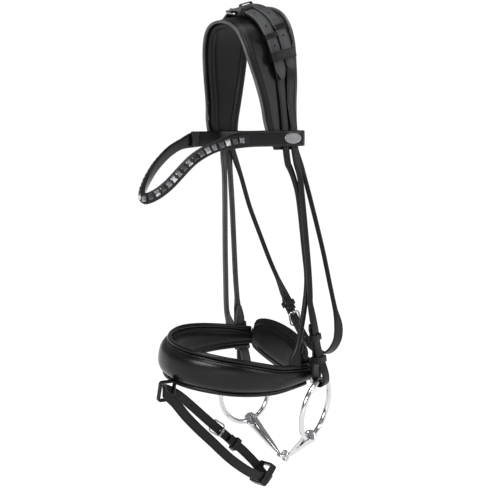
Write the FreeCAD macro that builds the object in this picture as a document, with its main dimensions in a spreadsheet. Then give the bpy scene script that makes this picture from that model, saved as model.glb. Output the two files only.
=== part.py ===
import FreeCAD, Part
import math
import os
import Sketcher

V = FreeCAD.Vector
doc = FreeCAD.newDocument("snaffle_bridle")
sheet = doc.addObject("Spreadsheet::Sheet", "sizes")

# Real sizes in millimetres. Z is up, the horse faces -Y, its left side is +X.
# The origin is the underside of the headpiece at the top of the poll.
SIZES = (
    ("strap_wide", 12.4, "flat poll straps"),
    ("strap_thick", 2.6, "two layers of bridle leather"),
    ("rolled_wide", 6.4, "rolled cheek straps"),
    ("pad_thick", 6.5, "headpiece padding"),
    ("leather_low", 6.8, "headpiece leather, underside height"),
    ("leather_thick", 3.0, "headpiece leather"),
    ("piping_wide", 3.2, "headpiece edge piping"),
    ("base_high", 12.3, "lower poll strap on the near side"),
    ("top_high", 15.2, "upper poll strap on the near side"),
    ("side_high", 10.1, "straps lying straight on the headpiece"),
    ("keeper_wall", 1.5, "leather of the keepers"),
    ("keeper_room", 0.8, "play of a strap in its keeper, both sides"),
    ("bar_radius", 1.0, "buckle wire"),
    ("tongue_radius", 0.7, "buckle tongue"),
    ("eye_gap", 0.25, "tongue eye round its bar"),
    ("tongue_way", 1.6, "hole in the strap for a tongue"),
    ("frame_inside", 13.4, "inside width of a buckle"),
    ("band_high", 17.5, "browband leather"),
    ("band_thick", 2.6, "browband leather"),
    ("channel_high", 10.4, "metal setting of the browband stones"),
    ("channel_thick", 1.2, "metal setting of the browband stones"),
    ("stone_side", 6.6, "square stone"),
    ("stone_high", 2.8, "square stone, depth"),
    ("stone_pitch", 8.0, "stone to stone"),
    ("badge_long", 21.6, "oval badge"),
    ("badge_high", 12.2, "oval badge"),
    ("badge_thick", 1.8, "oval badge"),
    ("nose_roll", 15.0, "lean of the noseband, degrees"),
    ("nose_drop", 387.0, "noseband centre below the poll"),
    ("lining_thick", 4.0, "noseband lining"),
    ("shell_thick", 2.6, "noseband leather"),
    ("roll_wide", 5.2, "rolled edge of the noseband"),
    ("crank_wide", 17.0, "chin strap"),
    ("flash_wide", 11.4, "flash strap"),
    ("flash_thick", 2.4, "flash strap"),
    ("ring_radius", 34.5, "bit ring, centre line"),
    ("ring_wire", 3.0, "bit ring, wire radius"),
    ("hole_wire", 3.6, "ring hole in the mouthpiece arm"),
    ("arm_butt", 7.6, "mouthpiece arm at the ring"),
    ("arm_neck", 3.4, "mouthpiece arm at the centre joint"),
    ("eye_radius", 5.5, "centre eye, centre line"),
    ("eye_wire", 1.8, "centre eye, wire radius"),
    ("stud_radius", 2.6, "billet hook stud"),
)
for row, (alias, value, note) in enumerate(SIZES, 1):
    sheet.set("A%d" % row, note)
    sheet.set("B%d" % row, "%g" % value)
    sheet.setAlias("B%d" % row, alias)
doc.recompute()


def size(name):
    return float(sheet.get(name))


# ---------------------------------------------------------------- geometry helpers
def spline(knots, at):
    """Smooth value through equally spaced knots (numbers or vectors)."""
    last = len(knots) - 1
    i = min(int(at), last - 1)
    f = at - i
    b, c = knots[i], knots[i + 1]
    a = knots[i - 1] if i > 0 else b * 2 - c
    d = knots[i + 2] if i + 2 <= last else c * 2 - b
    return (b * 2 + (c - a) * f + (a * 2 - b * 5 + c * 4 - d) * (f * f)
            + (b * 3 - a - c * 3 + d) * (f * f * f)) * 0.5


def outline(centre, across, out, wide, thick, corner):
    """Eight-sided strap section; corner 0 is square, 1 is fully rounded."""
    a, b = wide / 2, thick / 2
    c = 0.586 * b * corner + 0.02
    ring = ((a - c, b), (a, b - c), (a, c - b), (a - c, -b),
            (c - a, -b), (-a, c - b), (-a, b - c), (c - a, b))
    points = [centre + across * p + out * q for p, q in ring]
    return Part.makePolygon(points + [points[0]])


def solid_of(stations, corner=0.5):
    """Ruled solid through stations (centre, across, out, wide, thick)."""
    wires = [outline(c, a, o, w, t, corner) for c, a, o, w, t in stations]
    shape = Part.makeLoft(wires, True, True)
    if shape.Volume < 0:
        shape.reverse()
    return shape


def run(knots, steps=3):
    """Stations along a smooth line; knot = (x, y, z, facing, wide, thick)."""
    line = [V(*k[:3]) for k in knots]
    face = [V(*k[3]) for k in knots]
    wide = [float(k[4]) for k in knots]
    thick = [float(k[5]) for k in knots]
    last = len(knots) - 1
    out = []
    for j in range(last * steps + 1):
        at = j / steps
        ahead = spline(line, min(at + 0.04, last)) - spline(line, max(at - 0.04, 0))
        ahead.normalize()
        across = ahead.cross(spline(face, at))
        across.normalize()
        out.append((spline(line, at), across, across.cross(ahead), spline(wide, at), spline(thick, at)))
    return out


def shifted(stations, up, wide, thick, side=0.0):
    """The same line moved off its face by up and along its width by side."""
    return [(c + o * up + a * side, a, o, wide, thick) for c, a, o, w, t in stations]


def placed(centre, x_dir, y_dir, z_dir):
    m = FreeCAD.Matrix(x_dir.x, y_dir.x, z_dir.x, centre.x,
                       x_dir.y, y_dir.y, z_dir.y, centre.y,
                       x_dir.z, y_dir.z, z_dir.z, centre.z,
                       0, 0, 0, 1)
    return FreeCAD.Placement(m)


NODES = []


def node(obj, name):
    obj.Label = name
    NODES.append(obj)
    return obj


def soft(name, *shapes):
    """A leather or padded piece kept as plain closed solids."""
    obj = doc.addObject("Part::Feature", name)
    obj.Shape = shapes[0] if len(shapes) == 1 else Part.makeCompound(list(shapes))
    return node(obj, name)


# ---------------------------------------------------------------- parametric helpers
def origin_plane(body, role):
    for feature in body.Origin.OriginFeatures:
        if feature.Role == role:
            return feature


def sketch(body, name, role="XY_Plane"):
    sk = body.newObject("Sketcher::SketchObject", name)
    sk.AttachmentSupport = [(origin_plane(body, role), "")]
    sk.MapMode = "FlatFace"
    return sk


def rectangle(sk, tag, wide, high):
    """Centred rectangle with its two sizes bound to the sheet."""
    x, y = 5.0, 4.0
    corners = (V(-x, -y, 0), V(x, -y, 0), V(x, y, 0), V(-x, y, 0))
    first = sk.GeometryCount
    for k in range(4):
        sk.addGeometry(Part.LineSegment(corners[k], corners[(k + 1) % 4]), False)
    for k in range(4):
        sk.addConstraint(Sketcher.Constraint("Coincident", first + k, 2, first + (k + 1) % 4, 1))
    for k in (0, 2):
        sk.addConstraint(Sketcher.Constraint("Horizontal", first + k))
        sk.addConstraint(Sketcher.Constraint("Vertical", first + k + 1))
    sk.addConstraint(Sketcher.Constraint("Symmetric", first, 1, first + 2, 1, -1, 1))
    w = sk.addConstraint(Sketcher.Constraint("DistanceX", first, 1, first, 2, 2 * x))
    sk.renameConstraint(w, tag + "_wide")
    h = sk.addConstraint(Sketcher.Constraint("DistanceY", first + 1, 1, first + 1, 2, 2 * y))
    sk.renameConstraint(h, tag + "_high")
    sk.setExpression("Constraints." + tag + "_wide", wide)
    sk.setExpression("Constraints." + tag + "_high", high)


def window(name, place, inner_wide, inner_high, wall, deep, soften=0.0):
    """Rectangular loop: keeper, slot plate or buckle frame."""
    body = doc.addObject("PartDesign::Body", name)
    sk = sketch(body, name + "_profile")
    rectangle(sk, "outer", "%s + 2 * (%s)" % (inner_wide, wall), "%s + 2 * (%s)" % (inner_high, wall))
    rectangle(sk, "inner", inner_wide, inner_high)
    pad = body.newObject("PartDesign::Pad", name + "_pad")
    pad.Profile = sk
    pad.setExpression("Length", deep)
    body.Tip = pad
    doc.recompute()
    if soften:
        fillet = body.newObject("PartDesign::Fillet", name + "_soft")
        fillet.Base = (pad, ["Edge%d" % (k + 1) for k in range(len(pad.Shape.Edges))])
        fillet.Radius = soften
        body.Tip = fillet
        doc.recompute()
    half = body.Shape.BoundBox.ZMax / 2
    body.Placement = place.multiply(FreeCAD.Placement(V(0, 0, -half), FreeCAD.Rotation()))
    return node(body, name)


def keeper(name, station, inner_wide, inner_high, deep, lift=0.0):
    """Leather keeper square round a strap at one of its stations."""
    centre, across, out, w, t = station
    place = placed(centre + out * lift, across, out, across.cross(out))
    return window(name, place, inner_wide, inner_high, "sizes.keeper_wall", deep)


def tube(name, start, end, radius):
    """Round bar between two points, as a bound cylinder."""
    ahead = end - start
    bar = doc.addObject("Part::Cylinder", name)
    bar.setExpression("Radius", radius)
    bar.Height = ahead.Length
    bar.Placement = FreeCAD.Placement(start, FreeCAD.Rotation(V(0, 0, 1), ahead))
    return bar


def buckle(prefix, heel, toe, across, out):
    """Frame and tongue. heel is the centre of the hinge bar, toe the far bar.
    Returns the cutter that frees the way of the tongue through the strap."""
    ahead = toe - heel
    length = ahead.Length
    ahead.normalize()
    across = (across - ahead * across.dot(ahead)).normalize()
    if across.cross(ahead).dot(out) < 0:
        across = across * -1
    up = across.cross(ahead)
    window(prefix + "_frame", placed((heel + toe) * 0.5, across, ahead, up),
           "sizes.frame_inside", "%g - 2 * sizes.bar_radius" % length,
           "2 * sizes.bar_radius", "2 * sizes.bar_radius", 0.85)
    start = heel + up * (size("bar_radius") + size("eye_gap") + 0.4)
    end = toe + up * (size("bar_radius") + size("tongue_radius") + 0.35)
    way = (end - start).normalize()
    shaft = tube(prefix + "_shaft", start, end + way * 1.4, "sizes.tongue_radius")
    sleeve = tube(prefix + "_sleeve", heel - across * 1.5, heel + across * 1.5,
                  "sizes.bar_radius + sizes.eye_gap + 0.8")
    whole = doc.addObject("Part::MultiFuse", prefix + "_whole")
    whole.Shapes = [sleeve, shaft]
    core = tube(prefix + "_core", heel - across * 3, heel + across * 3, "sizes.bar_radius + sizes.eye_gap")
    tongue = doc.addObject("Part::Cut", prefix + "_tongue")
    tongue.Base = whole
    tongue.Tool = core
    node(tongue, prefix + "_tongue")
    return Part.makeCylinder(size("tongue_way"), 40, start - way * 3, way)


# ---------------------------------------------------------------- headpiece surface
ARCH = ((0, 0), (18, -3.5), (29, -13), (35, -28), (39, -48), (43, -70), (46.5, -95), (50, -120), (52, -146))
LEAN = (15, 14, 11, 7, 4, 2, 0, 0, 0)
FRONT = (-39, -38.5, -37, -34.5, -31, -26, -21, -18, -9)
REAR = (24, 25, 26, 27, 26.5, 25, 22, 20, 21)


def table(values, s):
    return spline([float(v) for v in values], abs(s))


def arch_point(s):
    line = [V(x, 0, z) for x, z in ARCH]
    line = [V(-p.x, 0, p.z) for p in reversed(line[1:])] + line
    return spline(line, s + 8)


def head_frame(s):
    ahead = arch_point(min(s + 0.05, 8)) - arch_point(max(s - 0.05, -8))
    ahead.normalize()
    flat = V(-ahead.z, 0, ahead.x)
    lean = math.radians(table(LEAN, s))
    across = V(0, math.cos(lean), 0) + flat * math.sin(lean)
    out = flat * math.cos(lean) - V(0, math.sin(lean), 0)
    return arch_point(s), across, out


def head(s, y, high):
    """Point on the headpiece: s along it, y across it, high above its underside."""
    base, across, out = head_frame(s)
    return base + across * y + out * high


def lay(knots):
    """Stations of a layer on the headpiece; knot = (s, y, low side, wide, thick)."""
    s, stations = knots[0][0], []
    step = 0.5 if knots[-1][0] > s else -0.5
    while (knots[-1][0] - s) * step > -1e-6:
        for a, b in zip(knots, knots[1:]):
            if (s - a[0]) * (s - b[0]) <= 1e-9:
                k = (s - a[0]) / (b[0] - a[0])
                y, low, wide, thick = [a[n] + (b[n] - a[n]) * k for n in (1, 2, 3, 4)]
                break
        across, out = head_frame(s)[1:]
        stations.append((head(s, y, low + thick / 2), across * (-1 if step > 0 else 1), out, wide, thick))
        s = s + step
    return stations


def along_strap(knots, s, high):
    """Station square to a poll strap's own run at s, its middle high above the underside."""
    def point(at):
        for a, b in zip(knots, knots[1:]):
            if (at - a[0]) * (at - b[0]) <= 1e-9:
                return head(at, a[1] + (b[1] - a[1]) * (at - a[0]) / (b[0] - a[0]), high)
    ahead = (point(s + 0.15) - point(s - 0.15)).normalize()
    out = head_frame(s)[2]
    across = ahead.cross(out).normalize()
    return (point(s), across, across.cross(ahead), 0, 0)


def broad(s0, s1, trim, low, thick):
    """Layer over the whole width of the headpiece."""
    count = int(round(abs(s1 - s0) * 2)) + 1
    knots = []
    for k in range(count):
        s = s0 + (s1 - s0) * k / (count - 1)
        front, rear = table(FRONT, s) + trim, table(REAR, s) - trim
        knots.append((s, (front + rear) / 2, low, rear - front, thick))
    return knots


def headpiece():
    low, thick = size("leather_low"), size("leather_thick")
    wire = size("piping_wide")
    soft("headpiece_padding", solid_of(lay(broad(-7.5, 7.5, 2.0, 0, size("pad_thick"))), 1.0))
    soft("headpiece_leather", solid_of(lay(broad(-8, 8, 0, low, thick)), 0.6))
    edges = []
    for side, row in ((-1, FRONT), (1, REAR)):
        knots = []
        for k in range(31):
            s = -7.5 + k * 0.5
            y = table(row, s) + side * (wire / 2 + 0.25)
            knots.append((s, y, low + (thick - wire) / 2, wire, wire))
        edges.append(solid_of(lay(knots), 1.0))
    soft("headpiece_piping", *edges)


# ---------------------------------------------------------------- straps over the poll
NEAR, FAR, OUT = (1, 0, 0), (-1, 0, 0), (0, -1, 0)
ROLL = size("rolled_wide")
WIDE, THICK = size("strap_wide"), size("strap_thick")
BASE, TOP, SIDE = size("base_high"), size("top_high"), size("side_high")


# strap centre lines over the poll: (s, y)
FRONT_LINE = ((-8, 6), (-7, 4), (-5, 1), (-4, -2), (-3, -6), (-2, -10), (-1, -14), (0, -16), (0.5, -14.2),
              (1, -12), (2, -7), (3, -3), (4, 1), (5, 4), (6, 4), (8, 4.5))
REAR_LINE = ((-8, 15), (-7, 14.5), (-6, 15), (-5, 15), (-4, 14), (-3, 11), (-2, 8), (-1, 5), (-0.5, 3.4),
    (0, 2.4),
             (1, 4), (2, 8.5), (3, 12.6), (4, 16.4), (4.5, 17.5), (5, 17.2), (6, 14.6), (8, 14.5))


def line_y(line, s):
    for a, b in zip(line, line[1:]):
        if a[0] <= s <= b[0]:
            return a[1] + (b[1] - a[1]) * (s - a[0]) / (b[0] - a[0])


def poll_layer(line, rows):
    """Layer following a strap line; row = (s, low side, wide, thick)."""
    rows = [row if len(row) == 4 else row + (WIDE, THICK) for row in rows]
    knots, s = [], rows[0][0]
    while s <= rows[-1][0] + 1e-6:
        for a, b in zip(rows, rows[1:]):
            if a[0] <= s <= b[0]:
                k = (s - a[0]) / (b[0] - a[0])
                low, wide, thick = [a[n] + (b[n] - a[n]) * k for n in (1, 2, 3)]
                break
        knots.append((s, line_y(line, s), low, wide, thick))
        s = s + 0.5
    return lay(knots)


def poll_buckle(prefix, line, heel_s, toe_s):
    heel = head(heel_s, line_y(line, heel_s), 12.5)
    toe = head(toe_s, line_y(line, toe_s), 17.0)
    across, out = head_frame((heel_s + toe_s) / 2)[1:]
    return buckle(prefix, heel, toe, across, out)


def poll_straps():
    # noseband sliphead: far hanger, over the poll, tip on the near side
    rise = run(((-59.6, 14.5, -358.6, FAR, 17, 3.0), (-62.4, 13.8, -352, FAR, 10, 4),
        (-66.4, 12.5, -338, FAR, ROLL, ROLL),
                (-66, 11, -300, FAR, ROLL, ROLL), (-65, 9.6, -262, FAR, ROLL, ROLL),
                (-63.5, 8.3, -215, FAR, ROLL, ROLL),
                (-63.2, 7.6, -180, FAR, ROLL, ROLL), (-63.4, 6.6, -160, FAR, 8, 4)))
    over = poll_layer(FRONT_LINE, ((-8, SIDE, 8.5, 3.2), (-7, SIDE, 8.5, 3.2), (-5, SIDE, 10, THICK),
        (-4, SIDE),
                                   (-1, SIDE), (-0.5, 12.8), (0, 15.6), (0.5, 15.5), (1, TOP), (4.5, TOP),
                                   (5, TOP, 4, THICK)))
    front_tip = solid_of(rise + over).cut(poll_buckle("poll_buckle_front", FRONT_LINE, 0.2, -0.5))
    # bit cheek strap of the far side: billet, over the poll, tip on the near side
    rise = billet(-1) + run(((-71.4, 31, -326, FAR, ROLL, ROLL), (-70, 27.6, -296, FAR, ROLL, ROLL),
                             (-68.2, 24.4, -260, FAR, ROLL, ROLL), (-67.4, 21.4, -215, FAR, ROLL, ROLL),
                             (-67, 18.6, -180, FAR, ROLL, ROLL), (-66.6, 16.6, -160, FAR, 8, 4)))
    over = poll_layer(REAR_LINE, ((-8, 12.9, 9, 2.8), (-7, 12.9, 9, 2.8), (-6, SIDE, 9, THICK),
        (-5, SIDE, 10, THICK),
                                  (-4, SIDE), (-2, SIDE), (-1.5, 12.8), (-1, 15.6), (-0.5, 15.5), (0, TOP),
                                  (4, TOP),
                                  (4.5, TOP, 6, THICK)))
    rear_tip = solid_of(rise + over).cut(poll_buckle("poll_buckle_rear", REAR_LINE, -0.8, -1.5))
    # near noseband hanger with the front poll buckle on top
    down = poll_layer(FRONT_LINE, ((0.5, BASE), (4.5, BASE), (5, SIDE, 10, THICK), (6, SIDE, 8.5, 3.2),
        (8, SIDE, 8.5, 3.2)))
    drop = run(((63.0, 7.4, -160, NEAR, 8, 4), (61.4, 17.0, -178, NEAR, ROLL, ROLL),
        (60.6, 24.7, -202, NEAR, ROLL, ROLL),
                (61, 32, -258, NEAR, ROLL, ROLL), (62, 35.3, -293, NEAR, ROLL, ROLL),
                (64, 30.1, -327, NEAR, ROLL, ROLL),
                (65, 22, -361, NEAR, ROLL, ROLL), (65.2, 18.4, -372, NEAR, ROLL, ROLL),
                (65.2, 16.8, -381, NEAR, 13, 4), (65.0, 15.6, -391.2, NEAR, 17, 3.0)))
    hanger = solid_of(down + drop)
    # near bit cheek strap with the rear poll buckle on top
    down = poll_layer(REAR_LINE, ((-0.5, BASE), (4.5, BASE), (5, SIDE, 10, THICK), (6, SIDE, 9, THICK),
                                  (7, 12.9, 9, 2.8), (8, 12.9, 9, 2.8)))
    drop = run(((67.2, 16.6, -160, NEAR, 8, 4), (68.6, 20.6, -178, NEAR, ROLL, ROLL),
        (68.8, 23.8, -202, NEAR, ROLL, ROLL),
                (69.8, 29.7, -258, NEAR, ROLL, ROLL), (71, 32.2, -293, NEAR, ROLL, ROLL),
                (72.2, 32.8, -320, NEAR, ROLL, ROLL)))
    cheek = solid_of(down + drop + billet(1))
    soft("noseband_sliphead", punched(front_tip, FRONT_LINE, (1.25, 2.2, 3.3)))
    soft("cheek_strap_far", punched(rear_tip, REAR_LINE, (0.75, 1.4, 2.75)))
    soft("noseband_hanger_near", hanger)
    soft("cheek_strap_near", cheek)
    single = "sizes.strap_wide + sizes.keeper_room"
    high = "2 * sizes.strap_thick + 1.9"
    for name, line, s, lift in (("poll_keeper_front_fixed", FRONT_LINE, 0.78, 15.2),
        ("poll_keeper_rear_fixed", REAR_LINE, -0.22, 15.5),
                                ("poll_keeper_front", FRONT_LINE, 2.75, 15.1),
                                ("poll_keeper_rear", REAR_LINE, 2.26, 15.1)):
        keeper(name, along_strap(line, s, lift), single, high, "5")
    middle = [(s, (y + line_y(REAR_LINE, s)) / 2) for s, y in FRONT_LINE[9:13]]
    keeper("poll_keeper_wide", along_strap(middle, 3.75, 15.5), "sizes.strap_wide * 2 + 4.6", high, "10")


def punched(shape, line, marks):
    for s in marks:
        out = head_frame(s)[2]
        shape = shape.cut(Part.makeCylinder(1.3, 9, head(s, line_y(line, s), 13.5), out))
    return shape


# billet: (outward offset, distance up from the ring, wide); outer leg, fold, inner leg, tip
def billet_frame(side):
    """Ring top, outward, up and width directions of a bit billet."""
    top = V(73.36, 47.47, -407.27) if side > 0 else V(-73, 43, -408.5)
    up = (V(0, -0.178, 0.984) if side > 0 else V(0.005, -0.146, 0.989)).normalize()
    turn = math.radians(20 if side > 0 else 0)
    out = V(side * math.cos(turn), math.sin(turn), 0)
    out = (out - up * out.dot(up)).normalize()
    return top, out, up


def billet(side):
    """Flat lower end of a cheek strap: down outside, round the ring, up on the inner side."""
    top, out, up = billet_frame(side)
    half = 6.8 if side > 0 else 5.2
    legs = ((1.5, 58, 12), (1.5, 50, 12), (1.6, 38, 12), (half * 0.55, 24, 12), (half, 9, 12), (half, 0, 12),
            (half * 0.7, -4.6, 12), (0, -6.6, 12), (-half * 0.7, -4.6, 12), (-half, 0, 12), (-half, 9, 12),
            (-half * 0.55, 24, 12), (-1.6, 38, 12), (-1.6, 50, 12), (-2.7, 60, 12),
            (-3.6, 66, 5) if side > 0 else (-4.8, 74, 5))
    facing = ((1, 0), (1, 0), (1, 0), (1, 0), (1, 0), (1, 0), (0.7, -0.7), (0, -1), (-0.7, -0.7), (-1, 0),
        (-1, 0),
              (-1, 0), (-1, 0), (-1, 0), (-1, 0), (-1, 0))
    knots = []
    for (o, d, wide), (fo, fd) in zip(legs, facing):
        c = top + out * o + up * d
        f = out * fo + up * fd
        knots.append((c.x, c.y, c.z, (f.x, f.y, f.z), wide, THICK))
    rows = run(knots, 2)
    if side > 0:
        return rows
    return [(c, a * -1, o * -1, w, t) for c, a, o, w, t in reversed(rows)]


def billet_parts():
    """Keepers and hook studs of the two bit billets."""
    for side, word in ((1, "near"), (-1, "far")):
        top, out, up = billet_frame(side)
        across = out.cross(up).normalize()
        half = 6.8 if side > 0 else 5.2
        for name, d, high in (("upper", 50, 6.6), ("lower", 24, half * 1.1 + 4.6)):
            window("billet_keeper_%s_%s" % (word, name), placed(top + up * d, across, out, across.cross(out)),
                   "sizes.strap_wide + 0.4", "%g" % high, "sizes.keeper_wall", "7")
        stud = doc.addObject("Part::Cylinder", "hook_stud_" + word)
        stud.setExpression("Radius", "sizes.stud_radius")
        stud.Height = 0.9
        stud.Placement = FreeCAD.Placement(top + up * 32 - out * 0.45, FreeCAD.Rotation(V(0, 0, 1), out))
        node(stud, "hook_stud_" + word)


# ---------------------------------------------------------------- browband
def band_line():
    """Outer run of the browband from the far loop round the V to the near loop."""
    rows = ((-60.5, -26, -135.4, (-1, -0.25, 0)), (-57, -43, -136.6, (-1, -0.35, 0)),
        (-52, -60, -140.6, (-0.9, -0.45, 0)),
            (-47, -76, -146.6, (-0.85, -0.5, 0)), (-41, -91, -155, (-0.8, -0.6, 0)),
            (-34, -106, -165.5, (-0.75, -0.65, 0)),
            (-26, -120, -178, (-0.7, -0.75, 0)), (-17, -131, -188.5, (-0.5, -0.85, 0)),
            (-8, -138.5, -195.5, (-0.25, -0.95, 0)),
            (0.5, -141.5, -198.2, (0.05, -1, 0)), (8, -138.5, -196.4, (0.3, -0.95, 0)),
            (16, -131.5, -190.6, (0.5, -0.85, 0)),
            (24, -123, -180.8, (0.65, -0.75, 0)), (31, -115, -169.4, (0.7, -0.7, 0)),
            (38, -104.5, -156.4, (0.75, -0.65, 0)),
            (44, -91.5, -146.6, (0.8, -0.6, 0)), (50, -76, -139.6, (0.85, -0.5, 0)),
            (55, -60, -135, (0.9, -0.4, 0)),
            (59, -43, -133.2, (1, -0.3, 0)), (62, -26, -132.8, (1, -0.25, 0)))
    return rows


def loop_line(side):
    """Loop of the browband round the headpiece end, from the outer run to its sewn end."""
    z = -132.6 if side > 0 else -135.0
    plan = ((68.9, -6, (1, -0.15, 0)), (70.3, 7, (1, 0, 0)), (70.4, 20.5, (1, 0.15, 0)),
        (66, 26.8, (0.5, 1, 0)),
            (55, 28, (-0.2, 1, 0)), (48.6, 24.2, (-1, 0.5, 0)), (47.2, 10, (-1, 0, 0)),
            (47.4, -9, (-1, 0, 0)),
            (51.2, -22.5, (-1, 0.3, 0)), (55.4, -34, (-1, 0.3, 0)), (52.8, -45, (-1, 0.35, 0)))
    return [(side * x, y, z, (side * f[0], f[1], 0)) for x, y, f in plan]


def browband():
    high, thick = size("band_high"), size("band_thick")
    rows = [(x, y, z, f) for x, y, z, f in reversed(loop_line(-1))]
    rows += list(band_line()) + loop_line(1)
    knots = []
    for x, y, z, f in rows:
        crystal = abs(x) < 53 and y < -46
        knots.append((x, y, z, f, 12.6 if crystal else high, thick))
    soft("browband_leather", solid_of(run(knots, 2), 0.5))
    core = [(x, y, z, f, size("channel_high"), 1.0) for x, y, z, f in band_line()[1:-1]]
    stations = run(core, 2)
    metal = shifted(stations, thick / 2 + 0.25 + size("channel_thick") / 2, size("channel_high"),
        size("channel_thick"))
    soft("browband_channel", solid_of(metal, 0.3))
    soft("browband_stones", *stones(stations, thick / 2 + 0.5 + size("channel_thick")))
    badge()


def stones(stations, up):
    """Square stones with a cut top, evenly spaced along the band."""
    side, high, pitch = size("stone_side") / 2, size("stone_high"), size("stone_pitch")
    marks = [0.0]
    for a, b in zip(stations, stations[1:]):
        marks.append(marks[-1] + (b[0] - a[0]).Length)
    count = int((marks[-1] - pitch) / pitch)
    spare = (marks[-1] - (count - 1) * pitch) / 2
    shapes = []
    for n in range(count):
        want = spare + n * pitch
        i = max(k for k in range(len(marks) - 1) if marks[k] <= want)
        f = (want - marks[i]) / (marks[i + 1] - marks[i])
        a, b = stations[i], stations[i + 1]
        centre = a[0] + (b[0] - a[0]) * f
        across = (a[1] + (b[1] - a[1]) * f).normalize()
        out = (a[2] + (b[2] - a[2]) * f).normalize()
        ahead = across.cross(out).normalize()
        low = square(centre + out * up, across, ahead, side)
        girdle = square(centre + out * (up + high * 0.45), across, ahead, side)
        top = square(centre + out * (up + high), across, ahead, side * 0.6)
        shapes.append(Part.makeLoft([low, girdle, top], True, True))
    return shapes


def square(centre, across, ahead, half):
    points = [centre + across * (half * i) + ahead * (half * j) for i,
        j in ((1, 1), (-1, 1), (-1, -1), (1, -1))]
    return Part.makePolygon(points + [points[0]])


def badge():
    """Plain oval badge riveted on the near end of the browband."""
    body = doc.addObject("PartDesign::Body", "browband_badge")
    sk = sketch(body, "badge_profile")
    oval = sk.addGeometry(Part.Ellipse(V(0, 0, 0), 10.0, 6.0), False)
    sk.exposeInternalGeometry(oval)
    sk.addConstraint(Sketcher.Constraint("Coincident", oval, 3, -1, 1))
    sk.addConstraint(Sketcher.Constraint("Horizontal", oval + 1))
    long_one = sk.addConstraint(Sketcher.Constraint("Distance", oval + 1, 20.0))
    sk.renameConstraint(long_one, "long_side")
    high_one = sk.addConstraint(Sketcher.Constraint("Distance", oval + 2, 12.0))
    sk.renameConstraint(high_one, "high_side")
    sk.setExpression("Constraints.long_side", "sizes.badge_long")
    sk.setExpression("Constraints.high_side", "sizes.badge_high")
    pad = body.newObject("PartDesign::Pad", "badge_pad")
    pad.Profile = sk
    pad.setExpression("Length", "sizes.badge_thick")
    body.Tip = pad
    doc.recompute()
    soften = body.newObject("PartDesign::Chamfer", "badge_rim")
    rim = [k + 1 for k, e in enumerate(pad.Shape.Edges) if e.BoundBox.ZMin > size("badge_thick") - 0.01]
    soften.Base = (pad, ["Edge%d" % k for k in rim])
    soften.Size = 0.5
    body.Tip = soften
    doc.recompute()
    out = V(1, -0.06, 0).normalize()
    along = V(0, 0, 1).cross(out)
    body.Placement = placed(V(72.2, 7.2, -132.4), along, V(0, 0, 1), along.cross(V(0, 0, 1)))
    node(body, "browband_badge")


# ---------------------------------------------------------------- throatlash
def throatlash():
    thin = 2.2
    start = [(head(8 - k * 0.5, 17.5 + (1 - k) * 0.6, 10.1 + thin / 2), head_frame(8 - k * 0.5)[1] * -1,
              head_frame(8 - k * 0.5)[2], 8.0, thin) for k in (1, 0)]
    # straight stretch with the buckle: base point, direction up to the far side, outer face
    base = V(-12, 81.4, -362)
    way = V(-24, -7.8, 40).normalize()
    out = V(-0.86, 0, -0.51)
    out = (out - way * out.dot(way)).normalize()
    across = way.cross(out)
    face = (out.x, out.y, out.z)

    def on_line(t, lift, wide, thick=THICK):
        c = base + way * t + out * lift
        return (c.x, c.y, c.z, face, wide, thick)
    near = start + run([(63.0, 25.5, -163, NEAR, 7, 3.4), (63, 32.3, -181, NEAR, 5.4, 5.4),
        (63, 43, -214, NEAR, 5.4, 5.4),
                        (63, 57, -260, NEAR, 5.4, 5.4), (62, 68.4, -301, NEAR, 5.4, 5.4),
                        (60.5, 77.5, -331, NEAR, 6, 4.5), (57, 84.5, -349, (1, 0.1, -0.2), 12, THICK),
                        (50, 89.2, -366, (0.85, 0, -0.5), 12, THICK),
                        (38, 90.4, -380, (0.6, 0, -0.8), 12, THICK),
                        (24, 89.6, -386.5, (0.1, 0, -1), 12, THICK),
                        (9, 87.4, -383, (-0.45, 0, -0.9), 12, THICK),
                        (-3, 84, -373.5, (-0.7, 0, -0.7), 12, THICK)]
                       + [on_line(t, 0, 12) for t in (0, 11, 22, 33, 41)] + [on_line(47, 0, 5)], 2)
    mirror = [(V(-c.x, c.y, c.z), V(a.x, -a.y, -a.z), V(-o.x, o.y, o.z), w, t) for c, a, o, w, t in start]
    far = mirror + run([(-62.4, 23.8, -163, FAR, 7, 3.4), (-60.4, 30, -182, FAR, 5.4, 5.4),
        (-58.6, 40, -215, FAR, 5.4, 5.4),
                        (-55.5, 52.5, -248, FAR, 5.4, 5.4), (-49.5, 63.6, -281, FAR, 5.4, 5.4),
                        (-41.6, 69.8, -303, (-0.95, 0, -0.3), 5.8, 5), on_line(49, -3.0, 11, 3.0),
                        on_line(39, -2.95, 12), on_line(32, -2.95, 12), on_line(26.5, -2.95, 12)], 2)
    cut = buckle("throatlash_buckle", base + way * 22.5 - out * 3.7, base + way * 8.5 + out * 3.1, across,
        out)
    soft("throatlash_near", solid_of(near).cut(cut))
    soft("throatlash_far", solid_of(far))
    middle = base + way * 35 - out * 1.47
    keeper("throatlash_keeper", (middle, across, out, 0, 0), "12.9", "6.6", "6")


# ---------------------------------------------------------------- noseband
HALF = (18, 18, 18, 17.6, 17, 15.2, 12.4, 9.6, 7.4)
PLAN = ((0, -98), (19, -95), (34.5, -87), (47.5, -73.5), (56.5, -56), (61.2, -32.5), (62.2, -7), (59, 20),
    (53.5, 44))
# height of the band along its run, far end to near end
RISE = (0, 0, 0, 0, 0, 0, 0, 0.5, 2.5, 4.5, 6, 6, 5, 2.5, 0, 0, 0)
LEVEL = FreeCAD.Placement(V(0, 0, -size("nose_drop")), FreeCAD.Rotation(V(0, 1, 0), size("nose_roll")))


def nose_point(u):
    line = [V(x, y, 0) for x, y in PLAN]
    line = [V(-p.x, p.y, 0) for p in reversed(line[1:])] + line
    return spline(line, u + 8) + V(0, 0, table(RISE, u + 8))


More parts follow.
